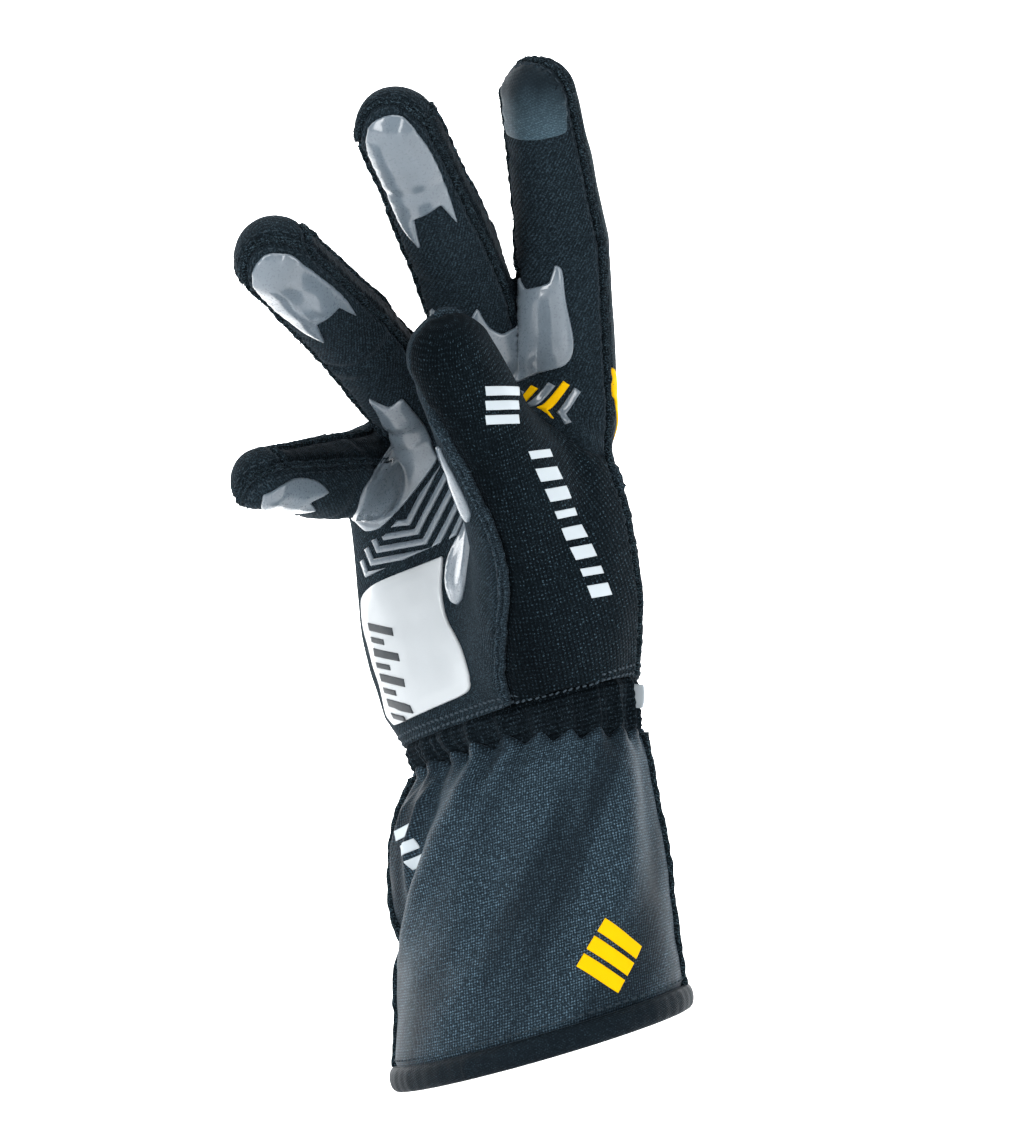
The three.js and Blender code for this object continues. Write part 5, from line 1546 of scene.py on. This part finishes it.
def raised(plane, outlines, height, spacing=PAD_SPACING, dome=0.0, lift=0.0, bevel=PAD_BEVEL):
    """A rounded pad on the skin, or on the cuff without a plane: points, faces, flat places."""
    flat, faces, depth = pad_sheet(outlines, spacing)
    places, normal = cast(plane, flat) if plane else cuff_cast(flat)
    edge = 1 - np.clip(depth / bevel, 0, 1)
    top = lift + height * (0.35 + 0.65 * np.sqrt(np.maximum(1 - edge ** 2, 0)))
    top = top + dome * smoothstep(depth / DOME_REACH)
    base = surface_depth(places) if plane else np.zeros(len(places))
    outer = places + normal * (base + top)[:, None]
    under = places + normal * (base + lift - PAD_SINK)[:, None]
    verts, shell_faces, used = shell(outer, faces, under)
    return verts, shell_faces, np.vstack([flat[used], flat[used]])


def stroke(path, width):
    """Outline of a bar of even width along a path with mitred corners."""
    path = np.asarray(path, float)
    step = unit(np.diff(path, axis=0))
    side = np.stack([-step[:, 1], step[:, 0]], 1)
    before = np.vstack([side[:1], side])
    after = np.vstack([side, side[-1:]])
    mitre = unit(before + after)
    mitre = mitre * (width / 2 / np.sum(mitre * after, 1))[:, None]
    return np.vstack([path + mitre, (path - mitre)[::-1]])


def dense(outline):
    """A closed outline with straight sides, evenly filled with points."""
    outline = np.asarray(outline, float)
    points = []
    for a, b in zip(outline, np.roll(outline, -1, 0)):
        count = max(int(np.linalg.norm(b - a) / OUTLINE_STEP), 1)
        points.append(a + (b - a) * np.linspace(0, 1, count + 1)[:-1, None])
    return np.vstack(points)


def add_raised(name, slot, plane, outlines, *sizes, **settings):
    verts, faces, uv = raised(plane, outlines, *sizes, **settings)
    add_piece(f"{name}_raised", verts, faces, slot, slot, [name], uv)


# look, height and dome of the pads that differ from the grey ones
PAD_LOOKS = {
    "touch_patch_index": ("touch_patch", 0.12, 0.0),
    "palm_block": ("silicone_white", 0.9, 0.25),
    "knuckle_print": ("print_yellow", 0.4, 0.0),
}
for name, pad in PADS.items():
    slot, height, dome = PAD_LOOKS.get(name, ("silicone_grey", PAD_HEIGHT, PAD_DOME))
    add_raised(name, slot, pad, [rounded(pad["outline"])], height, dome=dome)
for i in range(5):
    left, right = PALM_LEFT + PALM_LEFT_STEP * i, PALM_RIGHT + PALM_RIGHT_STEP * i
    path = [left + PALM_LEFT_ARM, left, right, right + PALM_RIGHT_ARM]
    add_raised(f"palm_chevron_{i + 1}", "silicone_grey", PALM_PLANE,
               [dense(stroke(path, PALM_STROKE)), dense(PALM_CHEVRON_AREA)],
               PALM_CHEVRON_HEIGHT, CHEVRON_SPACING, bevel=0.45)
for i, (across, drop, lean) in enumerate(SIDE_CHEVRONS):
    path = [(across + lean, SIDE_CORNER + drop), (across, SIDE_CORNER),
            (across + SIDE_FOOT_LEAN, SIDE_CORNER - SIDE_FOOT_DROP)]
    add_raised(f"side_chevron_{i + 1}", "print_yellow" if i in (1, 3) else "silicone_grey", SIDE_PLANE,
               [dense(stroke(path, SIDE_STROKE))], SIDE_CHEVRON_HEIGHT, CHEVRON_SPACING, bevel=0.4)

# ---------------------------------------------------------------- wrist band and cuff
# height, centre, half width and half thickness of the cuff's sections
CUFF_ROWS = np.array([
    (2.7, -1.1, 35.5, 26), (-6, 1.3, 33.5, 24), (-14, -1.1, 37, 27.5), (-24, -1.2, 39.3, 30),
    (-36, 0.1, 40, 31.5), (-52, 2.6, 40.8, 32.5), (-70, 4.3, 41.5, 34), (-84, 5, 42.8, 35.5),
    (-90.5, 6.3, 43, 35.8),
], float)
HEM_SLOPE = (0.3, 0.1)
BAND_BOTTOM_Z, HEM_TOP_Z, HEM_BOTTOM_Z = -6.0, -84.0, -90.5
PLEATS, PLEAT_DEPTH, PLEAT_FADE, PLEAT_RISE = 22, 1.0, 15.0, 14.0
CUFF_SEAMS = (-64.0, 112.0)
# radius at which places round the cuff are measured in millimetres
CUFF_RADIUS = 38.0
# angle at the top and bottom, heights from and to, depth, width in degrees and how late it turns
CUFF_FOLDS = [
    (6, -58, 4, -58, 1.8, 10, 1.8), (-15, -76, 0, -60, -4.6, 10, 1.8), (48, 30, -4, -50, -1.6, 13, 1),
    (80, 62, -10, -66, 1.2, 16, 1), (-112, -120, -4, -58, -2.0, 20, 1), (165, 150, -8, -64, -1.8, 24, 1),
]
# smaller creases that the cloth has on top of the large folds
CUFF_CREASES = [
    (-23, -50, -3, -46, 1.3, 2.8), (-36, -58, -3, -34, 1.1, 2.6), (27, 27, -7, -17, -1.3, 4),
    (12, 6, -5, -22, -0.8, 3), (-30, -55, -7, -42, -0.9, 3.5), (38, 32, -9, -22, -0.7, 4),
    (22, 6, -14, -62, -2.0, 10), (42, 28, -12, -66, 1.7, 10), (66, 44, -18, -72, -2.4, 9),
    (84, 68, -14, -60, 1.5, 9), (98, 92, -16, -60, -1.0, 8), (14, -14, -52, -84, 1.0, 12),
    (-90, -98, -7, -36, -0.7, 6),
    (140, 134, -7, -32, -0.6, 6), (-150, -156, -7, -40, 0.7, 8), (190, 186, -7, -30, -0.6, 6),
    (50, 36, -56, -84, 0.4, 12), (-110, -100, -50, -84, 0.5, 12), (-160, -168, -50, -84, -0.5, 12),
]


def fold_sum(rows, angle, z):
    """How far the folds in a list raise the cuff's cloth."""
    depth = np.zeros_like(z)
    for top, bottom, start, end, deep, width, *bend in rows:
        t = np.clip((start - z) / (start - end), 0, 1)
        middle = top + (bottom - top) * t ** (bend[0] if bend else 1)
        depth = depth + deep * hill(half_turn(angle - middle), width) * np.sin(np.pi * t) ** 0.7
    return depth


def cuff_surface(z, angle, offset=0.0, creases=1.0):
    """Points of the cuff's outside at heights and angles from the middle of its front."""
    z, angle = np.broadcast_arrays(np.asarray(z, float), np.asarray(angle, float))
    x0, width, thickness = [np.interp(-z, -CUFF_ROWS[:, 0], CUFF_ROWS[:, i]) for i in (1, 2, 3)]
    below = BAND_BOTTOM_Z - z
    fade = np.where(below < 0, np.maximum(1 + below / PLEAT_RISE, 0),
                    np.maximum(0, 1 - below / PLEAT_FADE) ** 1.5)
    turn = np.radians(angle)
    sway = 0.35 * np.sin(3 * turn + 0.7) + 0.25 * np.sin(7 * turn)
    size = 1 + 0.35 * np.sin(5 * turn + 1.1) + 0.25 * np.sin(9 * turn)
    pleats = PLEAT_DEPTH * fade * (np.cos(turn * PLEATS)
                                   + creases * 0.45 * size * np.cos(turn * PLEATS + 2.2 * sway * below / 12))
    out = offset + pleats + fold_sum(CUFF_FOLDS, angle, z)
    if creases:
        out = out + creases * fold_sum(CUFF_CREASES, angle, z)
        flat = np.stack([CUFF_RADIUS * np.sin(turn).ravel(), CUFF_RADIUS * np.cos(turn).ravel(),
                         z.ravel()], 1)
        calm = np.clip((z - HEM_TOP_Z) / 6, 0.3, 1)
        out = out + creases * calm * (0.30 * waves(flat, 34) + 0.12 * waves(flat[:, [2, 0, 1]], 13)
                                      ).reshape(z.shape)
    t = (WRIST_SEAM_Z - z) / (WRIST_SEAM_Z - HEM_BOTTOM_Z)
    slope_x, slope_y = [start + (end - start) * t for start, end in zip(SEAM_SLOPE, HEM_SLOPE)]
    across = (width + out) * np.sin(turn)
    forward = -(thickness + out) * np.cos(turn)
    return np.stack([x0 + across, forward, z + slope_x * across + slope_y * forward], -1)


def grid_shell(outer, inner, wrap):
    """Closed solid between two grids of points, which can wrap round in their columns."""
    rows, columns = outer.shape[:2]
    points = np.vstack([outer.reshape(-1, 3), inner.reshape(-1, 3)])
    half = rows * columns
    quads = quad_grid(rows, columns, wrap_columns=wrap)
    faces = [quads[:, ::-1], quads + half]
    j = np.arange(columns - 1 + wrap)
    k = (j + 1) % columns
    last = (rows - 1) * columns
    faces.append(np.stack([j, k, k + half, j + half], 1))
    faces.append(np.stack([last + k, last + j, last + j + half, last + k + half], 1))
    if not wrap:
        i = np.arange(rows - 1) * columns
        faces.append(np.stack([i + columns, i, i + half, i + columns + half], 1))
        i = i + columns - 1
        faces.append(np.stack([i, i + columns, i + columns + half, i + half], 1))
    return points, np.vstack(faces)


CUFF_COLUMNS = 440
CUFF_HEIGHTS = 110
BAND_HEIGHTS = 26
# depth and width of what turns in at the side seams, at the top edge and over the hem
CUFF_TUCKS = ((1.1, 1.2), (0.9, 0.8), (0.7, 0.9))
# radii at which the cloth of the cuff, the elastic and the hem is unrolled
CUFF_CLOTH, BAND_CLOTH, HEM_CLOTH = 39, 36, 40
SCALLOP = 1.7
# height of the cuff's top edge at angles round it: the elastic shows taller on the thumb's side
EDGE_ANGLES = (-180, -90, -64, 0, 19, 50, 90, 112, 150, 180)
EDGE_HEIGHTS = (-6.2, -5.4, -4.6, -3.8, -4.8, -8.0, -11.4, -11.8, -8.5, -6.2)


def edge_height(angle):
    return np.interp((angle + 180) % 360 - 180, EDGE_ANGLES, EDGE_HEIGHTS)


def cloth_round(angles, z, radius):
    """Cloth places of a grid that runs round the cuff."""
    return np.stack([np.radians(angles) * radius, z], -1).reshape(-1, 2)


def cuff_panel(name, start, end):
    count = int(CUFF_COLUMNS * (end - start) / 360)
    angle = np.linspace(start, end, count)
    zigzag = np.arcsin(0.97 * np.cos(np.radians(angle) * PLEATS)) * 2 / np.pi
    scallop = edge_height(angle) + SCALLOP * zigzag
    t = np.linspace(0, 1, CUFF_HEIGHTS) ** 1.15
    z = scallop[None] * (1 - t[:, None]) + (HEM_TOP_Z - 1) * t[:, None]
    angles = np.broadcast_to(angle, z.shape)
    # the edges turn in at the side seams
    away = np.minimum(angles - start, end - angles) * math.radians(40)
    tucks = [-deep * hill(off, width) for (deep, width), off in zip(
        CUFF_TUCKS, (away, scallop[None] - z, z - HEM_TOP_Z))]
    outer = cuff_surface(z, angles, sum(tucks))
    inner = cuff_surface(z, angles, -WALL, creases=0.6)
    verts, faces = grid_shell(outer, inner, False)
    uv = cloth_round(angles, z, CUFF_CLOTH)
    add_piece(f"{name}_cloth", verts, faces, "cuff_weave", "cuff_weave", [name], np.vstack([uv, uv]))


cuff_panel("cuff_front", CUFF_SEAMS[0], CUFF_SEAMS[1])
cuff_panel("cuff_back", CUFF_SEAMS[1], 360 + CUFF_SEAMS[0])

# the gathered elastic
angle = np.linspace(0, 360, CUFF_COLUMNS, endpoint=False)
band_top, band_bottom = WRIST_SEAM_Z + 0.6, np.minimum(edge_height(angle) - 2.6, BAND_BOTTOM_Z)
middle = np.linspace(1, 0, BAND_HEIGHTS)[:, None] * np.ones(len(angle))
z = band_bottom + (band_top - band_bottom) * middle
angles = np.broadcast_to(angle, z.shape)
gather = 0.35 * np.cos(np.radians(angles) * PLEATS * 2 + 0.6) + 0.22 * np.cos(np.radians(angles) * 71)
tucked = -hill(z - band_top, 1.0) - 1.1 * np.clip((edge_height(angles) + 2.0 - z) / 2, 0, 1) - 0.4
rows = 0.18 * np.cos(2 * np.pi * (z - band_top) / 2.3)
outer = cuff_surface(z, angles, gather * np.sin(np.pi * middle) ** 0.5 + tucked + rows, creases=0.3)
inner = cuff_surface(z, angles, -WALL, creases=0.0)
verts, faces = grid_shell(outer, inner, True)
uv = cloth_round(angles, z, BAND_CLOTH)
add_piece("wrist_band_elastic", verts, faces, "elastic", "elastic", ["wrist_band"], np.vstack([uv, uv]))

# turned hem: a rounded section, as (height, how far out), carried round
HEM_SECTION = np.array([
    (-84.0, 0.0), (-84.3, 0.75), (-85.2, 1.45), (-86.8, 1.8), (-88.4, 1.65), (-89.8, 1.1),
    (-90.5, 0.2), (-90.6, -0.9), (-90.2, -2.0), (-88.5, -2.6), (-86, -2.7), (-84.2, -2.3)])
section = np.array([
    curve_between(p0, p1, p2, p3, t)
    for p0, p1, p2, p3 in zip(*[np.roll(HEM_SECTION, -k, 0) for k in (-1, 0, 1, 2)])
    for t in (0, 0.34, 0.67)])
z, angles = np.meshgrid(section[:, 0], angle, indexing="ij")
offset = np.repeat(section[:, 1:], len(angle), 1)
ripple = 0.06 * np.sin(np.radians(angles) * 57) + 0.07 * np.sin(np.radians(angles) * 23 + 1)
offset = offset + ripple * np.where(offset > 0, 1, 0.3)
ring = cuff_surface(np.maximum(z, HEM_BOTTOM_Z), angles, offset, creases=0.35)
ring[..., 2] += np.minimum(z - HEM_BOTTOM_Z, 0)
faces = quad_grid(*ring.shape[:2], wrap_rows=True, wrap_columns=True)[:, ::-1]
add_piece("cuff_hem_turned", ring.reshape(-1, 3), faces, "hem_knit", "elastic", ["cuff_hem"],
          cloth_round(angles, z, HEM_CLOTH))


def cuff_cast(flat):
    """Places on the cuff at (degrees times its radius, height), with the normals there."""
    def at(shift_u=0.0, shift_v=0.0):
        return cuff_surface(flat[:, 1] + shift_v, np.degrees((flat[:, 0] + shift_u) / CUFF_RADIUS))

    along = at(0.3) - at(-0.3)
    up = at(0, 0.3) - at(0, -0.3)
    return at(), unit(np.cross(along, up))


# ---------------------------------------------------------------- plain bars that stand for words
RECORD_SLOTS = {"silicone_grey", "silicone_white", "print_yellow"}
# left corner of the turned mark and its two sides: degrees round and millimetres up
CUFF_MARK = np.array([(45.5, -69.2), (13.6, 10.2), (16.8, -10.3)])
VIEW_PLANE = dict(CAMERA_VIEW, depth=(14, 90), field=hand_distance)
THUMB_BAR_HEIGHT, BLOCK_BAR_HEIGHT, BLOCK_BAR_LIFT = 0.16, 0.15, 1.3
CUFF_MARK_HEIGHT, CUFF_BAR_HEIGHT = 0.35, 0.25
BAR_SLANT = 0.25


def print_piece(name, plane, outlines, look, height, lift=0.0, nodes=()):
    """Raised bars in one piece, on the hand or, without a plane, on the cuff."""
    spacing, bevel = (0.8, 0.3) if plane else (1.0, 0.35)
    parts = [raised(plane, [dense(outline)], height, spacing, lift=lift, bevel=bevel)
             for outline in outlines]
    verts, faces = merged([(v, f) for v, f, _ in parts])
    slot = look if look in RECORD_SLOTS else "silicone_white"
    add_piece(name, verts, faces, look, slot, nodes, np.vstack([uv for _, _, uv in parts]))


def mark_bars(count, gap):
    """The turned mark as bars side by side."""
    corner, rise, fall = CUFF_MARK * (math.radians(1) * CUFF_RADIUS, 1)
    share = (1 + gap) / count
    bars = []
    for i in range(count):
        low, high = rise * i * share, rise * (i * share + share - gap)
        bars.append([corner + low, corner + low + fall, corner + high + fall, corner + high])
    return bars


def slanted_bar(middle, run, length, width):
    """A bar across a run's direction: corners in the plane."""
    run = unit(run)
    across = np.array([-run[1], run[0]])
    arm = across * length / 2 + run * BAR_SLANT * length / 2
    half = run * width / 2
    return [middle - arm - half, middle - arm + half, middle + arm + half, middle + arm - half]


def viewed(px, py, depth):
    """Place in the camera's plane of a pixel of its picture, at a depth towards the camera."""
    scale = (DISTANCE - depth) / DISTANCE / PX_PER_MM
    target_u, target_v = float(TARGET @ RIGHT), float(TARGET @ UP)
    return np.array([target_u + (px - IMAGE[0] / 2) * scale, target_v + (IMAGE[1] / 2 - py) * scale])


print_piece("cuff_mark_bars", None, mark_bars(3, 0.09), "print_yellow", CUFF_MARK_HEIGHT,
            nodes=["cuff_mark"])
# slanted bars run down the thumb
WORD_RUN = [(536, 446), (552, 484), (570, 524), (588, 562), (604, 600)]
WORD_BARS, WORD_DEPTH, BAR_LENGTH, BAR_WIDTHS = 8, 48, 5.6, (2.2, 3.6, 3.6)
word = np.array([viewed(px, py, WORD_DEPTH) for px, py in WORD_RUN])
word_run = run_along(word)
bars = []
for i in range(WORD_BARS):
    at = word_run[-1] * (i + 0.5) / WORD_BARS
    middle, ahead = at_runs(np.array([at, at + 1]), word_run, word)
    bars.append(slanted_bar(middle, ahead - middle, BAR_LENGTH, BAR_WIDTHS[i % 3]))
print_piece("thumb_bars", VIEW_PLANE, bars, "print_light", THUMB_BAR_HEIGHT)
# a stack of three level bars lies near its tip
bars = [[viewed(px, 390 + i * 14 + rise, 52) for px, rise in ((486, 1), (519, -1), (520, 8), (487, 10))]
        for i in range(3)]
print_piece("thumb_mark_bars", VIEW_PLANE, bars, "print_light", THUMB_BAR_HEIGHT)
# dark upright bars along the left edge of the white block
bars = []
for i in range(4):
    top = np.array([-33.6 + 2.0 * i, 30.6 - 7.0 * i])
    bars.append([top, top + (10.4, -1.0), top + (10.9, -3.2), top + (0.5, -2.2)])
    bars.append([top + (0.9, -3.9), top + (6.6, -4.4), top + (7.0, -5.9), top + (1.3, -5.4)])
print_piece("block_bars", PADS["palm_block"], bars, "print_dark", BLOCK_BAR_HEIGHT, BLOCK_BAR_LIFT)
# light bars on the palm side of the cuff
bars = []
for i in range(3):
    left, z = -31.6 + 2.6 * i, -20.0 - 4.6 * i
    bars.append([(left, z), (left + 7.0, z + 0.8), (left + 7.8, z - 2.2), (left + 0.8, z - 3.0)])
print_piece("cuff_palm_bars", None, bars, "print_light", CUFF_BAR_HEIGHT)

# ---------------------------------------------------------------- stitches
def row_of_stitches(line, normal, pitch):
    """Places, directions and normals along a line at an even pitch."""
    run = run_along(line)
    count = max(int(run[-1] / pitch), 1)
    at = (np.arange(count) + 0.5) * run[-1] / count
    at = at + np.random.default_rng(count).normal(0, 0.08, count)
    out = unit(at_runs(at, run, normal))
    ahead = at_runs(at + 0.5, run, line) - at_runs(at - 0.5, run, line)
    along = unit(ahead - np.sum(ahead * out, 1, keepdims=True) * out)
    return at_runs(at, run, line), along, out


# on each side of an outseam: distance of the row, its pitch, and the stitch's length and radius
ROW_OFFSET, ROW_PITCH, ROW_STITCH = 2.5, 2.5, (1.5, 0.2)
# of the double row over the wrist seam: heights and ways the stitches lean, pitch and stitch
WRIST_ROWS, WRIST_PITCH, WRIST_STITCH = ((1.5, 1), (3.6, -1)), 1.9, (1.25, 0.32)
HEM_ROW_Z, HEM_ROW_PROUD, HEM_PITCH, HEM_STITCH = -82.2, 0.12, 2.6, (1.8, 0.24)
# radius and offset of the light strand that paints the highlight beside the thumb's piping
EDGE_RADIUS, EDGE_SHIFT = 0.17, PIPING_SHIFT + 1.5

stitch_parts = []
for seam in seams:
    line, normal = seam["line"], seam["normal"]
    if len(line) < 12 or seam["kind"] != OUTSEAM:
        continue
    side = seam_side(line, normal)
    strips = [name for name in seam["pair"] if name.startswith("fourchette")]
    for offset in (-ROW_OFFSET, ROW_OFFSET):
        # the rows run on the panels, not on the narrow strips
        if strips and np.mean(PANEL_VALUES[strips[0]](line + side * offset)) > 0:
            continue
        beside = resampled(smoothed(line + side * offset, 8, seam["closed"]), 0.8)
        # where the seam bends sharply its neighbour line would bunch up
        away = np.min(np.linalg.norm(beside[:, None] - seam_points[None, ::3], axis=2), axis=1)
        beside, out = onto_skin(beside, 2)
        places, along, out = row_of_stitches(beside, out, ROW_PITCH)
        clear = np.array([away[np.argmin(np.linalg.norm(beside - p, axis=1))] for p in places])
        keep = clear > ROW_OFFSET * 0.72
        places, along, out = places[keep], along[keep], out[keep]
        if len(places):
            lifted = places + out * (surface_depth(places) + 0.10)[:, None]
            stitch_parts.append(stitches(lifted, along, out, *ROW_STITCH))

# a fine light strand along the palm side of the thumb's piped seam paints the highlight on the piping's edge
edge_parts = []
for seam in seams:
    if seam["kind"] != PIPED or len(seam["line"]) < 60:
        continue
    line, normal = seam["line"], seam["normal"]
    side = seam_side(line, normal)
    edge = line + side * toward_palm(line, side) * EDGE_SHIFT
    edge, out = onto_skin(smoothed(edge, 6), 2)
    edge = edge + out * (surface_depth(edge) + 0.12)[:, None]
    ring = [(EDGE_RADIUS * math.cos(a), EDGE_RADIUS * math.sin(a))
            for a in np.linspace(0, 2 * np.pi, 7)[:-1]]
    edge_parts.append(swept(edge, out, ring, False, 1 + wobble(len(edge), 0.3, 520, 1)))
add_merged("thumb_seam_edge", edge_parts, "thread_light", "side_knit")

wrist_parts = []
for height, way in WRIST_ROWS:
    turn = np.linspace(0, 2 * np.pi, 260)
    ring = cuff_surface(np.full(turn.shape, WRIST_SEAM_Z), np.degrees(turn), 0.0, creases=0.0)
    ring, _ = onto_skin(ring + np.array([0, 0, height]), 3)
    ring[:, 2] = WRIST_SEAM_Z + height + ring[:, :2] @ SEAM_SLOPE
    ring, out = onto_skin(ring, 1)
    places, along, out = row_of_stitches(ring, out, WRIST_PITCH)
    lifted = places + out * (surface_depth(places) + 0.12)[:, None]
    # each stitch leans over its row
    lean = 0.4 * way + np.random.default_rng(77).normal(0, 0.12, len(places))
    along = unit(along + np.cross(out, along) * lean[:, None])
    wrist_parts.append(stitches(lifted, along, out, *WRIST_STITCH))
# one row over the hem
flat = np.stack([np.linspace(0, 2 * np.pi * CUFF_RADIUS, 400), np.full(400, HEM_ROW_Z)], 1)
ring, out = cuff_cast(flat)
places, along, out = row_of_stitches(ring, out, HEM_PITCH)
stitch_parts.append(stitches(places + out * HEM_ROW_PROUD, along, out, *HEM_STITCH))
add_merged("topstitching", stitch_parts, "thread", "side_knit")
add_merged("wrist_stitching", wrist_parts, "thread_light", "side_knit")

# raised side seams of the cuff
CUFF_RIDGE, CUFF_RIDGE_LIFT = (1.3, 1.5), -0.2
side_parts = []
for number, angle_at in enumerate(CUFF_SEAMS):
    z = np.linspace(float(edge_height(angle_at)) - 0.5, HEM_TOP_Z - 0.2, 110)
    line, out = cuff_cast(np.stack([np.full(z.shape, math.radians(angle_at) * CUFF_RADIUS), z], 1))
    line = line + out * (CUFF_RIDGE_LIFT + wobble(len(line), 0.08, 400 + number))[:, None]
    side_parts.append(swept(line, out, TWO_PLIES * CUFF_RIDGE, False,
                            1 + wobble(len(line), 0.05, 410 + number, 2)))
add_merged("cuff_side_seams", side_parts, "raw_edge", "cuff_weave", mapped=True)

# ---------------------------------------------------------------- loose fibres of the raw edges
FIBRES_PER_MM, FIBRE_LENGTH, FIBRE_RADIUS = 6.0, (0.4, 1.3), (0.05, 0.11)
FIBRE_SPREAD, FIBRE_LEAN, FIBRE_SCATTER = 0.75, 0.6, 0.55
places, outs, sides = [], [], []
for seam in seams:
    height, half, _, _ = SEAM_FORMS[seam["kind"]]
    if not height:
        continue
    line, normal = seam["line"], seam["normal"]
    numbers = np.arange(len(line))
    count = int(len(line) * SEAM_STEP * FIBRES_PER_MM)
    at = rng.uniform(0, len(line) - 1, count)
    base, out = at_runs(at, numbers, line), at_runs(at, numbers, normal)
    depth = np.interp(at, numbers, surface_depth(line))
    tangent = directions(line)[at.astype(int)]
    side = unit(np.cross(tangent, out))
    shift = rng.uniform(-FIBRE_SPREAD, FIBRE_SPREAD, count)
    lift = depth + RIDGE_LIFT + 0.85 * height
    places.append(base + out * lift[:, None] + side * (shift * half)[:, None])
    scatter = rng.normal(0, FIBRE_SCATTER, (count, 3))
    outs.append(unit(out + FIBRE_LEAN * side * shift[:, None] + scatter))
    sides.append(tangent)
places, outs, sides = np.vstack(places), np.vstack(outs), np.vstack(sides)
length = rng.uniform(*FIBRE_LENGTH, len(places))
thick = rng.uniform(*FIBRE_RADIUS, len(places))
sides = unit(np.cross(outs, sides) + 1e-6)
third = np.cross(outs, sides)
tips = places + outs * length[:, None] + rng.normal(0, 0.12, places.shape)
corners = [places + thick[:, None] * (sides * math.cos(a) + third * math.sin(a))
           for a in (0, 2 * np.pi / 3, 4 * np.pi / 3)]
points = np.stack([*corners, tips], 1).reshape(-1, 3)
base = np.arange(len(places))[:, None, None] * 4
tetra = np.array([[0, 1, 3], [1, 2, 3], [2, 0, 3], [2, 1, 0]])
faces = (base + tetra[None]).reshape(-1, 3)
add_piece("seam_fibres", points, faces, "fibre", "side_knit")

# ---------------------------------------------------------------- small plain tab at the wrist
TAB_ANGLE, TAB_TOP, TAB_BOTTOM = 104.0, 1.5, -4.5
TAB_PROUD, TAB_THICKNESS, TAB_SINK, TAB_BOW = 3.0, 0.5, 0.6, 0.5
steps = np.linspace(0, 1, 9)
out = np.array([math.sin(math.radians(TAB_ANGLE)), -math.cos(math.radians(TAB_ANGLE)), 0.0])
rows = []
for height in np.linspace(TAB_TOP, TAB_BOTTOM, 11):
    root = cuff_surface(np.array([height]), np.array([TAB_ANGLE]), 0.0, creases=0.0)[0]
    bow = TAB_BOW * math.sin(math.pi * (height - TAB_BOTTOM) / (TAB_TOP - TAB_BOTTOM))
    rows.append([root + out * (TAB_PROUD * t - TAB_SINK + bow * t) for t in steps])
face = np.array(rows)
across = unit(np.cross(np.array([0, 0, 1.0]), out))
verts, faces = grid_shell(face + across * TAB_THICKNESS / 2, face - across * TAB_THICKNESS / 2, False)
add_piece("wrist_tab", verts, faces, "print_light", "silicone_white")
